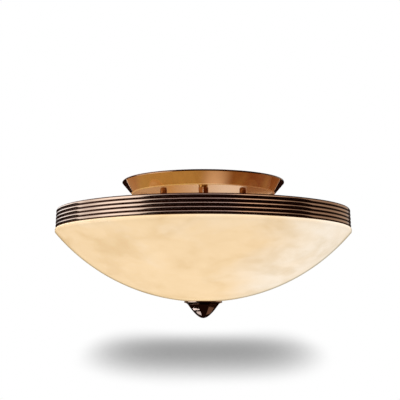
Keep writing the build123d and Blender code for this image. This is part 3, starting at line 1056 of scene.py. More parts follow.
@dataclass
class Mounting:
    """Strap, studs, nuts, ground screw and wire bushing above and below the pan's floor."""

    stud_x: float = 62.05
    stud_radius: float = 2.1
    stud_base: float = -29.0
    stud_pitch: float = 0.8
    stud_thread: float = 0.35
    nut_levels: tuple[float, float] = (-5.2, -2.0)
    lock_nut_kind: HexNut = HexNut(flats=8.7, bore=2.1, steps=6)
    cap_radius: float = 5.25
    cap_base: float = -32.0
    cap_dome: float = 3.5
    cap_edge: float = 0.2
    cap_groove: Groove = Groove(depth=0.7, mouth=0.6, floor=0.2, mouth_edge=0.3, floor_edge=0.2)
    cap_groove_drop: float = 1.8
    bushing_y: float = 46.0
    bushing_bore: float = 4.5
    bushing_radius: float = 6.4
    bushing_flange: float = 8.9
    bushing_top: float = -17.3
    bushing_edges: Triple = (0.6, 0.2, 0.4)
    floor_top: float = -18.8
    floor_base: float = -20.0
    lip: float = 1.0

    def both_sides(self, name: str, maker: Callable[[str], bpy.types.Object]) -> bpy.types.Object:
        """Make a piece for each stud and join the two."""
        sides = [shift(maker(f"{name}_{side:+d}"), side * self.stud_x, 0.0) for side in (1, -1)]
        return joined(name, sides)

    def stud(self, name: str) -> bpy.types.Object:
        """One threaded stud on the z axis."""
        levels = (self.stud_base, 0.0)
        return threaded(name, self.stud_radius, self.stud_thread, self.stud_pitch, levels, segments=16)

    def lock_nut(self, name: str) -> bpy.types.Object:
        """One small hexagonal nut on the z axis."""
        return self.lock_nut_kind.make(name, *self.nut_levels)

    def cap_nut(self, name: str) -> bpy.types.Object:
        """Turn one domed cap nut on the z axis, with a groove above its foot.

        Args:
            name: piece name.

        Returns:
            The cap nut.
        """
        top = self.floor_base
        corners = [
            (self.stud_radius, top, 0.0),
            (self.stud_radius, self.stud_base, 0.0),
            (0.0, self.stud_base, 0.0),
            (0.0, self.cap_base, 0.0),
            (self.cap_radius, self.cap_base, self.cap_dome),
            *self.cap_groove.corners(self.cap_radius, top - self.cap_groove_drop),
            (self.cap_radius, top, self.cap_edge),
        ]
        return turned(name, softened(corners, steps=6), segments=48)

    def bushing(self) -> bpy.types.Object:
        """Turn the wire bushing.

        Returns:
            The bushing, in place.
        """
        rolled, lip_edge, mouth_edge = self.bushing_edges
        lip_base = self.floor_base - self.lip
        corners = [
            (self.bushing_bore, self.bushing_top, rolled),
            (self.bushing_flange, self.bushing_top, rolled),
            (self.bushing_flange, self.floor_top, 0.0),
            (self.bushing_radius, self.floor_top, 0.0),
            (self.bushing_radius, self.floor_base, 0.0),
            (self.bushing_radius + self.lip, self.floor_base, lip_edge),
            (self.bushing_radius, lip_base, lip_edge),
            (self.bushing_bore, lip_base, mouth_edge),
        ]
        return shift(turned("snap_bushing", softened(corners), segments=48), 0.0, self.bushing_y)

    def build(self) -> None:
        """Make and dress the mounting pieces."""
        dress_node("mounting_strap", STEEL)
        dress_node("ground_screw", GREEN)
        add_piece(self.both_sides("stud_threads", self.stud), STEEL, Body.FIXTURE, "mounting_studs")
        add_piece(self.both_sides("stud_lock_nuts", self.lock_nut), STEEL, Body.FIXTURE, "stud_nuts")
        add_piece(self.both_sides("domed_cap_nuts", self.cap_nut), BRUSHED_BRONZE, Body.FIXTURE, "cap_nuts")
        add_piece(self.bushing(), NYLON, Body.FIXTURE, "wire_bushing")


@dataclass
class Stem:
    """Threaded rod with the nuts, washers, coupling and sleeve that hang on it."""

    radius: float = 5.0
    bore: float = 3.2
    pitch: float = 1.0
    thread_depth: float = 0.5
    nut: HexNut = HexNut(flats=15.9, bore=5.0)
    nut_height: float = 5.0
    washer_radius: float = 12.0
    washer_hole: float = 5.4
    washer_thickness: float = 1.2
    washer_edge: float = 0.25
    pan_floor: float = -20.0
    pan_sheet: float = 1.2
    top_reach: float = 3.0
    coupling_length: float = 10.5
    sleeve_length: float = 16.0
    sleeve_radius: float = 7.0
    sleeve_edge: float = 0.4
    sleeve_groove: Groove = Groove(depth=0.5, mouth=2.0, floor=1.5, mouth_edge=0.2, floor_edge=0.2)
    hub_height: float = 26.0

    def washer(self, name: str, base: float) -> bpy.types.Object:
        """Turn a washer with softened edges.

        Args:
            name: piece name.
            base: lowest level.

        Returns:
            The washer.
        """
        top = base + self.washer_thickness
        outline = ((self.washer_hole, base), (self.washer_radius, base))
        outline += ((self.washer_radius, top), (self.washer_hole, top))
        return turned(name, softened([(*corner, self.washer_edge) for corner in outline]))

    def sleeve(self, base: float, top: float) -> bpy.types.Object:
        """Turn the sleeve with a groove round its middle.

        Args:
            base: lowest level.
            top: highest level.

        Returns:
            The sleeve.
        """
        corners = [
            (self.washer_hole, base, 0.0),
            (self.sleeve_radius, base, self.sleeve_edge),
            *self.sleeve_groove.corners(self.sleeve_radius, (base + top) / 2),
            (self.sleeve_radius, top, self.sleeve_edge),
            (self.washer_hole, top, 0.0),
        ]
        return turned("turned_sleeve", softened(corners), segments=64)

    def build(self) -> None:
        """Make and dress the stem's pieces."""
        floor_top = self.pan_floor + self.pan_sheet
        nut_base = floor_top + self.washer_thickness
        coupling_top = self.pan_floor - self.washer_thickness
        coupling_base = coupling_top - self.coupling_length
        hub_top = coupling_base - self.sleeve_length
        hub_base = hub_top - self.hub_height
        stem_base, stop_base = (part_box(node)[0].z / MM for node in ("stem", "bowl_stop_nut"))
        levels = (stem_base, nut_base + self.nut_height + self.top_reach)
        rod = threaded("stem_thread", self.radius, self.thread_depth, self.pitch, levels, self.bore)
        add_piece(rod, STEEL, Body.FIXTURE, "stem")
        for name, node, base, height, finish in (
            ("upper_hex_nut", "stem_top_nut", nut_base, self.nut_height, STEEL),
            ("hex_coupling", "stem_coupling", coupling_base, self.coupling_length, BRUSHED_BRONZE),
            ("hub_hex_nut", "cluster_nut", hub_base - self.nut_height, self.nut_height, BRASS),
            ("stop_hex_nut", "bowl_stop_nut", stop_base, self.nut_height, BRASS),
        ):
            nut = add_piece(self.nut.make(name, base, base + height), finish, Body.FIXTURE, node)
            # The coupling's corners get a painted highlight.
            if finish is BRUSHED_BRONZE:
                dress_faces(nut, HIGHLIGHT_BRONZE, self.nut.near_corner)
        add_piece(self.washer("upper_washer", floor_top), STEEL, Body.FIXTURE, "stem_upper_washer")
        # The lower washer, in the recess under the pan, gets the painted shade's dark bronze.
        add_piece(self.washer("lower_washer", coupling_top), SHADE_BRONZE, Body.FIXTURE, "stem_lower_washer")
        add_piece(self.sleeve(hub_top, coupling_base), BRASS, Body.FIXTURE, "stem_sleeve")


@dataclass
class LampCluster:
    """Hub with arms, lampholders and bulbs, all on drooping axes round the stem.

    Places along a lamp's own axis are measured from the stem's axis.
    """

    first_angle: float = 90.0
    droop: float = 10.0
    middle: float = -60.7
    boss_face: float = 24.0
    collar_radius: float = 8.0
    collar_bore: float = 5.05
    collar_edges: tuple[float, float] = (0.4, 0.3)
    cap_back: float = 27.0
    cap_front: float = 44.7
    cap_radius: float = 17.5
    cap_sheet: float = 1.2
    cap_shoulder: float = 6.0
    cap_edges: tuple[float, float] = (0.35, 0.2)
    cap_bead: Groove = Groove(depth=0.45, mouth=1.5, floor=0.9, mouth_edge=0.2, floor_edge=0.2)
    cap_bead_setback: float = 3.9
    body_back: float = 32.7
    body_front: float = 71.7
    body_clearance: float = 0.1
    body_edges: tuple[float, float] = (0.5, 0.6)
    skirt_radius: float = 18.0
    skirt_edges: tuple[float, float] = (1.5, 0.8)
    skirt_groove: Groove = Groove(depth=0.9, mouth=1.35, floor=0.45, mouth_edge=0.4, floor_edge=0.4)
    skirt_groove_reach: float = 8.35
    cavity_floor: float = 45.7
    cavity_radius: float = 13.8
    base_levels: tuple[float, float] = (52.7, 72.7)
    base_radius: float = 13.0
    base_pitch: float = 3.63
    base_thread: float = 0.8
    bulb_bodies: tuple[Body, ...] = (Body.BULB_1, Body.BULB_2, Body.BULB_3)
    old_bulb: Body = Body.BULB_3

    def aim(self, piece: bpy.types.Object, number: int) -> bpy.types.Object:
        """Turn a piece from the z axis onto a lamp's axis.

        Args:
            piece: the piece, about the z axis.
            number: number of the lamp, from 1.

        Returns:
            The piece.
        """
        turn = math.radians(self.first_angle + (number - 1) * 360 / len(self.bulb_bodies))
        droop = math.radians(self.droop)
        flat = math.cos(droop)
        along = Vector((math.cos(turn) * flat, math.sin(turn) * flat, -math.sin(droop)))
        pose = along.to_track_quat("Z", "Y").to_matrix().to_4x4()
        piece.data.transform(Matrix.Translation((0.0, 0.0, self.middle * MM)) @ pose)
        return piece

    def cap(self, name: str) -> bpy.types.Object:
        """Draw the lampholder's metal cup, with a rolled bead behind its edge.

        Args:
            name: piece name.

        Returns:
            The cup, about the z axis.
        """
        inner = self.cap_radius - self.cap_sheet
        inner_back = self.cap_back + self.cap_sheet
        corners = [
            (self.collar_bore, self.boss_face, 0.0),
            (self.collar_radius, self.boss_face, self.collar_edges[0]),
            (self.collar_radius, self.cap_back, self.collar_edges[1]),
            (self.cap_radius, self.cap_back, self.cap_shoulder),
            *self.cap_bead.corners(self.cap_radius, self.cap_front - self.cap_bead_setback),
            (self.cap_radius, self.cap_front, self.cap_edges[0]),
            (inner, self.cap_front, self.cap_edges[1]),
            (inner, inner_back, self.cap_shoulder - self.cap_sheet),
            (self.collar_bore, inner_back, 0.0),
        ]
        return turned(name, softened(corners, steps=6), segments=72)

    def body(self, name: str) -> bpy.types.Object:
        """Form the porcelain cup, with a groove round its skirt and a rounded mouth.

        Args:
            name: piece name.

        Returns:
            The cup, about the z axis.
        """
        neck = self.cap_radius - self.cap_sheet - self.body_clearance
        corners = [
            (0.0, self.body_back, 0.0),
            (neck, self.body_back, self.body_edges[0]),
            (neck, self.cap_front, 0.0),
            (self.skirt_radius, self.cap_front, self.body_edges[1]),
            *self.skirt_groove.corners(self.skirt_radius, self.cap_front + self.skirt_groove_reach),
            (self.skirt_radius, self.body_front, self.skirt_edges[0]),
            (self.cavity_radius, self.body_front, self.skirt_edges[1]),
            (self.cavity_radius, self.cavity_floor, 0.0),
            (0.0, self.cavity_floor, 0.0),
        ]
        return turned(name, softened(corners, steps=5), segments=72)

    def screw(self, name: str) -> bpy.types.Object:
        """Roll a bulb's screw base, about the z axis."""
        sizes = (self.base_radius, self.base_thread, self.base_pitch, self.base_levels)
        return threaded(name, *sizes, segments=36, rows_per_turn=10)

    def build(self) -> None:
        """Make and dress the hub and, for each lamp, its arm, holder and bulb."""
        dress_node("cluster_hub", BRONZE)
        for number, bulb_body in enumerate(self.bulb_bodies, start=1):
            for name, maker, finish, body, node in (
                ("drawn_cap", self.cap, BRONZE, Body.FIXTURE, "holder_cap"),
                ("porcelain_body", self.body, PORCELAIN, Body.FIXTURE, "holder_body"),
                ("screw_base", self.screw, ALUMINIUM, bulb_body, "bulb_base"),
            ):
                add_piece(self.aim(maker(f"{name}_{number}"), number), finish, body, f"{node}_{number}")
            for node, finish in (
                ("lamp_arm", BRASS),
                ("holder_shell", BRASS),
                ("holder_contact", BRASS),
                ("bulb_glass", OLD_BULB_GLASS if bulb_body is self.old_bulb else BULB_GLASS),
                ("bulb_insulator", BLACK_GLASS),
                ("bulb_contact", SOLDER),
            ):
                dress_node(f"{node}_{number}", finish)


@dataclass
class BowlSet:
    """Alabaster-glass bowl with its reeded band, gasket and pad."""

    diameter: float = 457.0
    lip_height: float = 5.6
    lip_edges: tuple[float, float] = (0.96, 2.4)
    lip_margin: float = 1.2
    dome_depth: float = 105.0
    wall: float = 4.5
    rim_wall: float = 5.0
    rim_edges: tuple[float, float] = (0.3, 1.0)
    hole_radius: float = 7.0
    spot_radius: float = 20.4
    dome_steps: int = 56
    band_top: float = -48.0
    band_height: float = 28.0
    band_wall: float = 1.5
    band_inset: float = 0.7
    band_flare: float = 1.0
    band_clearance: float = 0.4
    band_seat_clearance: float = 0.3
    band_chamfer: float = 0.4
    reeds: int = 5
    reed_depth: float = 1.0
    reed_steps: int = 10
    groove_margin: float = 0.3
    gasket: float = 1.2

    @property
    def radius(self) -> float:
        """Radius of the bowl's lip."""
        return self.diameter / 2

    @property
    def shoulder(self) -> float:
        """Level of the lip's upper edge, just below the band."""
        return self.band_top - self.band_height - self.band_seat_clearance

    @property
    def lip_base(self) -> float:
        """Level where the upright lip turns into the dome."""
        return self.shoulder - self.lip_height

    @property
    def dome_radius(self) -> float:
        """Radius of the dome's outer face."""
        return (self.radius**2 + self.dome_depth**2) / (2 * self.dome_depth)

    @property
    def dome_middle(self) -> float:
        """Level of the dome's centre."""
        return self.lip_base - self.dome_depth + self.dome_radius

    @property
    def band_bore(self) -> float:
        """Inner radius of the band."""
        return self.radius - self.band_inset - self.reed_depth - self.band_flare - self.band_wall

    @property
    def rim_outer(self) -> float:
        """Outer radius of the bowl's rim, inside the band."""
        return self.band_bore - self.band_clearance

    @property
    def rim_inner(self) -> float:
        """Inner radius of the bowl's rim and of the band's flange."""
        return self.rim_outer - self.rim_wall

    def bowl(self) -> bpy.types.Object:
        """Turn the bowl: dome, upright lip and the stepped rim inside the band.

        Returns:
            The bowl.
        """
        inner = self.dome_radius - self.wall
        rim_top = self.band_top - self.band_wall - self.gasket
        outer_face, inner_face = (
            dome_arc(self.dome_middle, radius, start, end, self.dome_steps)
            for radius, start, end in (
                (self.dome_radius, self.spot_radius, self.radius - self.lip_margin),
                (inner, self.rim_inner, self.spot_radius),
            )
        )
        lip = softened(
            [
                (*outer_face[-1], 0.0),
                (self.radius, self.lip_base, self.lip_edges[0]),
                (self.radius, self.shoulder, self.lip_edges[1]),
                (self.rim_outer, self.shoulder, self.rim_edges[0]),
                (self.rim_outer, rim_top, self.rim_edges[1]),
                (self.rim_inner, rim_top, self.rim_edges[1]),
                (self.rim_inner, self.lip_base, 0.0),
            ],
            steps=5,
        )
        hole = [(self.hole_radius, inner_face[-1][1]), (self.hole_radius, outer_face[0][1])]
        return turned("alabaster_bowl", outer_face + lip[1:-1] + inner_face + hole, segments=224)

    def band(self) -> bpy.types.Object:
        """Turn the band: rounded reeds outside, a plain bore and a flange over the bowl's rim.

        Returns:
            The band.
        """
        groove = self.band_bore + self.band_wall
        rise, lean = self.band_height / self.reeds, self.band_flare / self.reeds
        chord = math.hypot(rise, lean)
        reed_radius = ((chord / 2) ** 2 + self.reed_depth**2) / (2 * self.reed_depth)
        half_turn = math.degrees(math.asin(chord / 2 / reed_radius))
        tilt = math.atan2(lean, rise)
        sink = Vector((math.cos(tilt), math.sin(tilt))) * (reed_radius - self.reed_depth)
        ends = (math.degrees(tilt) + half_turn, math.degrees(tilt) - half_turn)
        profile: Profile = []
        for reed in range(self.reeds):
            chord_middle = (groove + lean * (reed + 0.5), self.band_top - rise * (reed + 0.5))
            centre = (chord_middle[0] - sink.x, chord_middle[1] - sink.y)
            # Each reed starts where the one above it ends.
            profile = profile[:-1] + arc(centre, reed_radius, *ends, self.reed_steps)
        profile += [
            (self.band_bore, self.band_top - self.band_height),
            (self.band_bore, self.band_top - self.band_wall),
            (self.rim_inner, self.band_top - self.band_wall),
            (self.rim_inner, self.band_top - self.band_chamfer),
            (self.rim_inner + self.band_chamfer, self.band_top),
        ]
        return turned("reeded_band", profile, segments=256)

    def inside(self, face: bpy.types.MeshPolygon) -> bool:
        """Whether a face of the bowl looks towards the lamps."""
        to_middle = Vector((0.0, 0.0, self.dome_middle * MM)) - face.center
        return face.normal.dot(to_middle) > 0 and face.center.z < self.band_top * MM

    def behind_reeds(self, face: bpy.types.MeshPolygon) -> bool:
        """Whether a face of the band is on its flange or in its bore."""
        return level_and_reach(face)[1] < self.band_bore + self.band_wall - self.groove_margin

    def build(self) -> None:
        """Make and dress the bowl's pieces."""
        bowl = add_piece(self.bowl(), ALABASTER, Body.BOWL, "bowl")
        dress_faces(bowl, ALABASTER_INSIDE, self.inside)
        band = add_piece(self.band(), REEDED_BRONZE, Body.BOWL, "rim_band")
        dress_faces(band, BRONZE, self.behind_reeds)
        # The gasket glows with painted light.
        dress_node("rim_gasket", SILICONE)
        dress_node("bowl_pad", RUBBER)
        dress_node("bowl_stop_washer", STEEL)


@dataclass
class Finial:
    """Turned knob under the bowl: a thin dished flange, a cove, a swelling nose, and its rubber washer."""

    flange_radius: float = 29.4
    flange: float = 2.4
    flange_edges: tuple[float, float] = (0.5, 0.9)
    flange_land: float = 1.5
    dish_radius: float = 301.43
    dish_steps: int = 8
    recess_radius: float = 20.4
    recess: float = 1.94
    bore: float = 5.05
    bore_depth: float = 18.0
    cove_start: float = 28.5
    cove_slope: float = 10.0
    cove_pull: float = 2.0
    cove_steps: int = 16
    waist_radius: float = 23.4
    waist_height: float = 20.4
    waist_slope: float = 55.0
    nose_pulls: tuple[float, float] = (12.0, 8.0)
    nose_steps: int = 48
    # Width of the painted shade on the flange's upper edge.
    dark_edge: float = 1.0

    def under_face(self, top: float, base: float) -> Profile:
        """Draw the cove below the flange, which turns at the waist into the swelling nose.

        Args:
            top: level of the flange's edge.
            base: level of the nose.

        Returns:
            Points from the flange to the nose.
        """
        slopes = [math.radians(slope) for slope in (self.cove_slope, self.waist_slope)]
        away, down = (Vector((-math.cos(slope), -math.sin(slope))) for slope in slopes)
        start = Vector((self.cove_start, top - self.flange))
        waist = Vector((self.waist_radius, base + self.waist_height))
        tip = Vector((0.0, base))
        pulled = (start + away * self.cove_pull, waist - down * self.cove_pull)
        cove = bezier((start, *pulled, waist), self.cove_steps)
        flank, end = self.nose_pulls
        nose = bezier((waist, waist + down * flank, tip + Vector((end, 0.0)), tip), self.nose_steps)
        return cove + nose[1:]

    def knob(self, top: float, base: float) -> bpy.types.Object:
        """Turn the knob with its dished flange and its blind bore.

        Args:
            top: level of the flange's edge.
            base: level of the nose.

        Returns:
            The knob.
        """
        seat = top - self.recess
        dish_middle = top + math.sqrt(self.dish_radius**2 - self.flange_radius**2)
        ends = (self.recess_radius, self.flange_radius)
        dish = dome_arc(dish_middle, self.dish_radius, *ends, self.dish_steps)
        flange = softened(
            [
                (*dish[-2], 0.0),
                (*dish[-1], self.flange_edges[0]),
                (self.flange_radius, top - self.flange, self.flange_edges[1]),
                (self.cove_start - self.flange_land, top - self.flange, 0.0),
            ]
        )
        bore_end = seat - self.bore_depth
        bore = [(0.0, bore_end), (self.bore, bore_end), (self.bore, seat), (self.recess_radius, seat)]
        profile = dish[:-1] + flange[1:-1] + self.under_face(top, base)[1:] + bore
        return turned("turned_finial", profile, segments=128)

    def build(self) -> None:
        """Make and dress the finial, with painted shade in its cove and on its flange's upper edge, and its
        washer.
        """
        low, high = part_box("finial")
        base, top = low.z / MM, high.z / MM

        def in_painted_shade(face: bpy.types.MeshPolygon) -> bool:
            """Tell the faces in the cove and on the flange's upper edge, which get painted shade.

            Args:
                face: a face of the knob.

            Returns:
                Whether the face is one of them.
            """
            level, reach = level_and_reach(face)
            in_cove = base + self.waist_height < level < top - self.flange and reach > self.recess_radius
            return in_cove or (level > top - self.dark_edge and reach > self.flange_radius - self.dark_edge)

        knob = add_piece(self.knob(top, base), BRONZE, Body.FINIAL, "finial")
        dress_faces(knob, SHADE_BRONZE, in_painted_shade)
        dress_node("finial_washer", RUBBER)


@dataclass(frozen=True)
class WallTone:
    """One tone of the studio wall, by its turn to the right of the camera in degrees and its levels."""

    turn: float
    radiance: float
    low: float
    high: float
    colour: str = "ffffff"


@dataclass(frozen=True)
class Softbox:
    """A rectangular soft light that faces the bowl, with its middle and its size in metres."""

    name: str
    place: Triple
    size: tuple[float, float]
    watts: float
    colour: str


@dataclass(frozen=True)
class Card:
    """A glowing card, placed where the finial mirrors it to the camera.

    Its two ends are mirrored where the finial's surface has the card's turns, right of the camera. At each
    end, its lower and upper edges are mirrored where the surface has that end's slopes. All are degrees.
    """

    name: str
    turns: tuple[float, float]
    slopes: tuple[tuple[float, float], tuple[float, float]]
    radiance: float
    colour: str


@dataclass
class Studio:
    """Pale floor, soft lights, dark walls and cards that only reflections see, and the camera."""

    camera_place: Triple = (-5.0, -1403.0, -212.0)
    camera_rise: float = 7.46
    lens: float = 81.3
    sensor: float = 36.0
    floor_level: float = -277.0
    floor_tilt: float = 8.5
    floor_radius: float = 420.0
    floor_sides: int = 64
    shadow_reach: float = 260.0
    shadow_samples: int = 32
    shadow_depths: tuple[float, float] = (0.179, 0.8)
    shadow_tone: float = 0.175
    shadow_unit: float = 150.0
    shadow_across: tuple[float, float] = (-0.107, 0.115)
    shadow_along: tuple[float, float] = (-0.068, 0.029)
    shadow_bend: float = -0.045
    wall_radius: float = 2300.0
    wall_base: float = -2600.0
    wall_top: float = 4900.0
    wall_thickness: float = 1.0
    panel_edge: float = 220.0
    dark: str = "22100b"
    sky: str = "fff2fa"
    paper: str = "ffe1c6"
    glow: str = "e8b98c"
    backdrop: str = "ffffff"
    fill: str = "fffaf2"
    fill_strength: float = 0.35
    lamp_colour: str = "ffc47a"
    lamp_watts: float = 0.14
    lamp_level: float = -125.0
    lamp_size: float = 50.0
    knob_level: float = -200.0
    card_distance: float = 900.0
    card_steps: int = 12
    light_target: Triple = (0.0, 0.0, -0.09)
    softboxes: tuple[Softbox, ...] = (
        Softbox("left_softbox", (-1.85, -0.25, 0.05), (1.3, 1.1), 1.5, "fff2e6"),
        Softbox("top_softbox", (0.0, -0.2, 1.6), (1.2, 1.2), 9.0, "ffffff"),
    )
    cards: tuple[Card, ...] = (
        Card("upper_pane", (-58.0, -19.0), ((52.2, 54.6), (51.8, 52.6)), 2.6, "f2f4ff"),
        Card("lower_pane", (-44.0, -16.0), ((46.0, 49.8), (39.0, 49.4)), 1.5, "f2f4ff"),
        Card("wall_card", (24.0, 56.0), ((42.0, 54.9), (46.0, 54.9)), 0.24, "ffc8aa"),
    )

    @property
    def wall_tones(self) -> tuple[WallTone, ...]:
        """Lay out a wide window on the left, a high lamp in front and a pale wall on the right.

        Returns:
            Tones round the wall, from the back by the left side and the front.
        """
        return (
            WallTone(-180.0, 1.0, -620.0, -160.0, self.glow),
            WallTone(-173.5, 1.0, -620.0, -160.0, self.glow),
            WallTone(-171.5, 0.0, 320.0, 4300.0),
            WallTone(-165.0, 2.4, 320.0, 4300.0),
            WallTone(-150.0, 2.8, 360.0, 4300.0),
            WallTone(-140.0, 2.8, 390.0, 4300.0),
            WallTone(-125.0, 2.7, 450.0, 4300.0),
            WallTone(-110.0, 2.2, 520.0, 4300.0),
            WallTone(-104.0, 1.7, 150.0, 3700.0),
            WallTone(-96.0, 1.35, -1500.0, 2600.0),
            WallTone(-88.0, 1.6, -1500.0, 2200.0),
            WallTone(-73.0, 2.1, -1400.0, 2200.0),
            WallTone(-55.0, 2.1, -1200.0, 2200.0),
            WallTone(-46.0, 1.7, -600.0, 2200.0),
            WallTone(-38.0, 1.3, 600.0, 2100.0),
            WallTone(-28.0, 1.2, 1150.0, 2000.0, self.sky),
            WallTone(0.0, 1.3, 1150.0, 2000.0, self.sky),
            WallTone(18.0, 1.25, 1050.0, 2000.0, self.sky),
            WallTone(32.0, 1.8, 650.0, 2000.0, self.paper),
            WallTone(45.0, 1.55, 600.0, 2000.0, self.paper),
            WallTone(60.0, 1.15, 700.0, 2000.0, self.paper),
            WallTone(68.0, 0.9, 900.0, 2000.0, self.paper),
            WallTone(78.0, 0.85, 900.0, 2000.0, self.paper),
            WallTone(85.0, 0.56, -300.0, 1100.0, self.paper),
            WallTone(122.0, 0.6, -300.0, 1100.0, self.paper),
            WallTone(140.0, 0.6, -250.0, 1100.0, self.paper),
            WallTone(148.0, 0.58, 360.0, 4300.0),
            WallTone(165.0, 0.9, 340.0, 4300.0),
            WallTone(171.5, 0.0, 340.0, 4300.0),
            WallTone(173.5, 1.0, -620.0, -160.0, self.glow),
            WallTone(180.0, 1.0, -620.0, -160.0, self.glow),
        )

    def softbox(self, box: Softbox) -> None:
        """Add a soft light.

        Args:
            box: the light's place, size and power.
        """
        data = bpy.data.lights.new(box.name, "AREA")
        data.shape = "RECTANGLE"
        data.size, data.size_y = box.size
        data.energy = box.watts
        data.color = linear(box.colour)[:3]
        light = link_object(box.name, data)
        light.location = box.place
        towards = Vector(self.light_target) - Vector(box.place)
        light.rotation_euler = towards.to_track_quat("-Z", "Y").to_euler()
        light.visible_glossy = False

    def lamp_glow(self) -> None:
        """Add warm light from the bulbs, on the fittings round them."""
        data = bpy.data.lights.new("lamp_glow", "POINT")
        data.energy = self.lamp_watts
        data.color = linear(self.lamp_colour)[:3]
        data.shadow_soft_size = self.lamp_size * MM
        light = link_object("lamp_glow", data)
        light.location = (0.0, 0.0, self.lamp_level * MM)
        light.visible_glossy = False

    def seen(self, tree: bpy.types.NodeTree) -> bpy.types.Node:
        """Tell what is seen, itself or in a reflection, from what only lights the scene.

        Args:
            tree: node tree that takes the nodes.

        Returns:
            The node that gives 1 for camera, glossy and transmission rays, and 0 for the rest.
        """
        path = add_node(tree, "LightPath").outputs
        either = {"operation": "MAXIMUM"}
        direct = add_node(tree, "Math", either, {0: path["Is Camera Ray"], 1: path["Is Glossy Ray"]})
        return add_node(tree, "Math", either, {0: direct, 1: path["Is Transmission Ray"]})

    def world(self) -> None:
        """Set a white backdrop for what is seen, and a plain soft fill for the rest."""
        world = bpy.data.worlds.new("white_studio")
        bpy.context.scene.world = world
        world.use_nodes = True
        tree = world.node_tree
        tree.nodes.clear()
        fill, white = (
            add_node(tree, "Background", inputs={"Color": linear(colour), "Strength": strength})
            for colour, strength in ((self.fill, self.fill_strength), (self.backdrop, 1.0))
        )
        both = add_node(tree, "MixShader", inputs={0: self.seen(tree), 1: fill, 2: white})
        add_node(tree, "OutputWorld", inputs={"Surface": both})

    def shadow(self, tree: bpy.types.NodeTree) -> bpy.types.Node:
        """Draw the floor's shadow, from how much the bowl covers it and a falloff to its sides and its front.

        Args:
            tree: the floor's node tree.

        Returns:
            The node that gives the floor's tone.
        """
        cover = add_node(
            tree,
            "AmbientOcclusion",
            {"samples": self.shadow_samples},
            {"Distance": self.shadow_reach * MM},
        )
        unit = 1 / (self.shadow_unit * MM)
        place = add_node(tree, "TexCoord").outputs["Object"]
        scaled = add_node(tree, "VectorMath", MULTIPLY, {0: place, 1: (unit, unit, unit)})
        axes = add_node(tree, "SeparateXYZ", inputs={0: scaled}).outputs
        squared = add_node(tree, "Math", MULTIPLY, {0: axes["X"], 1: axes["X"]})
        bend = add_node(tree, "Math", MULTIPLY, {0: axes["Y"], 1: self.shadow_bend})
        depth = add_node(tree, "Math", SCALE_AND_ADD, {0: squared, 1: bend, 2: cover.outputs["AO"]})
        for step, (first, second) in ((squared, self.shadow_across), (axes["Y"], self.shadow_along)):
            share = add_node(tree, "Math", SCALE_AND_ADD, {0: step, 1: second, 2: first})
            depth = add_node(tree, "Math", SCALE_AND_ADD, {0: step, 1: share, 2: depth})
        low, high = self.shadow_depths
        return add_node(tree, "MapRange", SMOOTH, {0: depth, 1: low, 2: high, 3: self.shadow_tone, 4: 1.0})

    def floor(self) -> None:
        """White floor, sloped a little to the viewer, that keeps the shadow and is clear from below.

        It hangs with the bowl, so that a lowered bowl keeps its shadow under it.
        """
        turns = [2 * math.pi * step / self.floor_sides for step in range(self.floor_sides)]
        points = [spot(self.floor_radius, turn, 0.0) for turn in turns]
        floor = make_piece("studio_floor", points, [range(self.floor_sides)])
        slope = Matrix.Rotation(math.radians(self.floor_tilt), 4, "X")
        floor.data.transform(Matrix.Translation((0.0, 0.0, self.floor_level * MM)) @ slope)
        material = blank_material("white_paper_floor")
        tree = material.node_tree
        shown, bounce = (
            add_node(tree, "Emission", inputs={"Color": linear(self.backdrop), "Strength": strength})
            for strength in (self.shadow(tree), self.fill_strength)
        )
        lit = add_node(tree, "MixShader", inputs={0: self.seen(tree), 1: bounce, 2: shown})
        below = add_node(tree, "NewGeometry").outputs["Backfacing"]
        clear = add_node(tree, "BsdfTransparent")
        both = add_node(tree, "MixShader", inputs={0: below, 1: lit, 2: clear})
        add_node(tree, "OutputMaterial", inputs={"Surface": both})
        floor.data.materials.append(material)
        floor.visible_glossy = False
        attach(floor, Body.BOWL.value)

    def only_reflected(self, piece: bpy.types.Object, material: bpy.types.Material) -> None:
        """Dress a studio piece and hide it from all but reflections.

        Args:
            piece: the piece.
            material: its material.
        """
        piece.data.materials.append(material)
        piece.visible_camera = False
        piece.visible_diffuse = False
        piece.visible_transmission = False
        piece.visible_shadow = False

    def panels(self, tree: bpy.types.NodeTree) -> bpy.types.Node:
        """Draw the wall's pale panels, by turn and level.

        Args:
            tree: the wall's node tree.

        Returns:
            The node that gives their glow.
        """
        place = add_node(tree, "TexCoord").outputs["Object"]
        axes = add_node(tree, "SeparateXYZ", inputs={0: place}).outputs
        front = add_node(tree, "Math", MULTIPLY, {0: axes["Y"], 1: -1.0})
        turn = add_node(tree, "Math", {"operation": "ARCTAN2"}, {0: axes["X"], 1: front})
        share = add_node(tree, "MapRange", inputs={0: turn, 1: -math.pi, 2: math.pi})
        peak = max(tone.radiance for tone in self.wall_tones)
        tall = self.wall_top - self.wall_base
        colours: list[tuple[float, Colour]] = []
        levels: list[tuple[float, Colour]] = []
        for tone in self.wall_tones:
            stop = (tone.turn + 180) / 360
            red, green, blue, _ = linear(tone.colour)
            scale = tone.radiance / peak
            colours.append((stop, (red * scale, green * scale, blue * scale, 1.0)))
            low, high = ((level - self.wall_base) / tall for level in (tone.low, tone.high))
            levels.append((stop, (low, high, 0.0, 1.0)))
        glow, spans = (
            add_node(tree, "ValToRGB", inputs={"Fac": share}, stops=stops) for stops in (colours, levels)
        )
        edges = add_node(tree, "SeparateColor", inputs={0: spans}).outputs
        span = {0: axes["Z"], 1: self.wall_base * MM, 2: self.wall_top * MM}
        height = add_node(tree, "MapRange", inputs=span)
        inside: list[bpy.types.Node] = []
        for name, sign in (("Red", 1.0), ("Green", -1.0)):
            past = add_node(tree, "Math", {"operation": "SUBTRACT"}, {0: height, 1: edges[name]})
            reach = sign * self.panel_edge / tall / 2
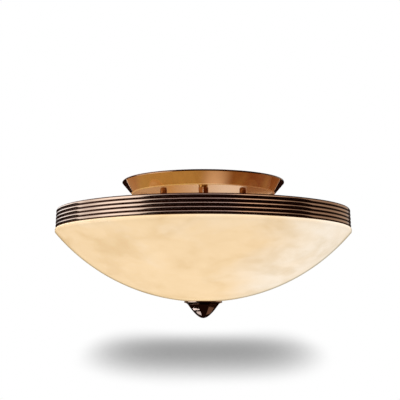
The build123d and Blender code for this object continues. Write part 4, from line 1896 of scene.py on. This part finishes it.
            inside.append(add_node(tree, "MapRange", SMOOTH, {0: past, 1: -reach, 2: reach}))
        shape = add_node(tree, "Math", MULTIPLY, {0: inside[0], 1: inside[1]})
        strength = add_node(tree, "Math", MULTIPLY, {0: shape, 1: peak})
        return add_node(tree, "Emission", inputs={"Color": glow, "Strength": strength})

    def walls(self) -> None:
        """Dark walls with pale panels and a dark table, for the polished metal to reflect."""
        outer, under = self.wall_radius + self.wall_thickness, self.wall_base - self.wall_thickness
        profile = [
            (0.0, self.wall_base),
            (self.wall_radius, self.wall_base),
            (self.wall_radius, self.wall_top),
            (outer, self.wall_top),
            (outer, under),
            (0.0, under),
        ]
        material = blank_material("dark_studio_wall")
        tree = material.node_tree
        plain = add_node(tree, "Emission", inputs={"Color": linear(self.dark), "Strength": 1.0})
        both = add_node(tree, "AddShader", inputs={0: self.panels(tree), 1: plain})
        add_node(tree, "OutputMaterial", inputs={"Surface": both})
        self.only_reflected(turned("studio_wall", profile, segments=64), material)

    def card(self, card: Card) -> None:
        """Add a card that only reflections see.

        Args:
            card: where the card is mirrored, and its glow.
        """
        row = self.card_steps + 1
        view = Vector((0.0, -1.0, 0.0))
        points: list[Vector] = []
        for number in range(row**2):
            along, across = number // row / self.card_steps, number % row / self.card_steps
            turn = math.radians(card.turns[0] + (card.turns[1] - card.turns[0]) * along)
            low, high = (start + (end - start) * along for start, end in zip(*card.slopes))
            slope = math.radians(low + (high - low) * across)
            lean = math.sin(slope)
            normal = Vector((math.sin(turn) * lean, -math.cos(turn) * lean, -math.cos(slope)))
            mirrored = normal * (2 * normal.dot(view)) - view
            points.append(Vector((0.0, 0.0, self.knob_level * MM)) + mirrored * self.card_distance * MM)
        starts = [place for place in range(row * self.card_steps) if place % row < self.card_steps]
        faces = [(place, place + 1, place + row + 1, place + row) for place in starts]
        material = blank_material(f"{card.name}_glow")
        tree = material.node_tree
        glow = add_node(tree, "Emission", inputs={"Color": linear(card.colour), "Strength": card.radiance})
        add_node(tree, "OutputMaterial", inputs={"Surface": glow})
        self.only_reflected(make_piece(card.name, points, faces), material)

    def camera(self) -> None:
        """Place the camera at the photograph's viewing angle."""
        data = bpy.data.cameras.new("studio_camera")
        data.lens = self.lens
        data.sensor_width = self.sensor
        camera = link_object("studio_camera", data)
        camera.location = Vector(self.camera_place) * MM
        camera.rotation_euler = (math.radians(90 + self.camera_rise), 0.0, 0.0)
        bpy.context.scene.camera = camera

    def build(self) -> None:
        """Set up the studio."""
        bpy.context.scene.view_settings.view_transform = "Standard"
        self.camera()
        self.world()
        self.floor()
        self.walls()
        for card in self.cards:
            self.card(card)
        self.lamp_glow()
        for box in self.softboxes:
            self.softbox(box)


def main() -> None:
    """Build the light's sub-assemblies and the studio."""
    logging.basicConfig(level=logging.INFO, format="%(name)s: %(message)s")
    for assembly in (CeilingPan(), Mounting(), Stem(), LampCluster(), BowlSet(), Finial(), Studio()):
        assembly.build()
        LOG.info("%s built", type(assembly).__name__)


if __name__ == "__main__":
    main()
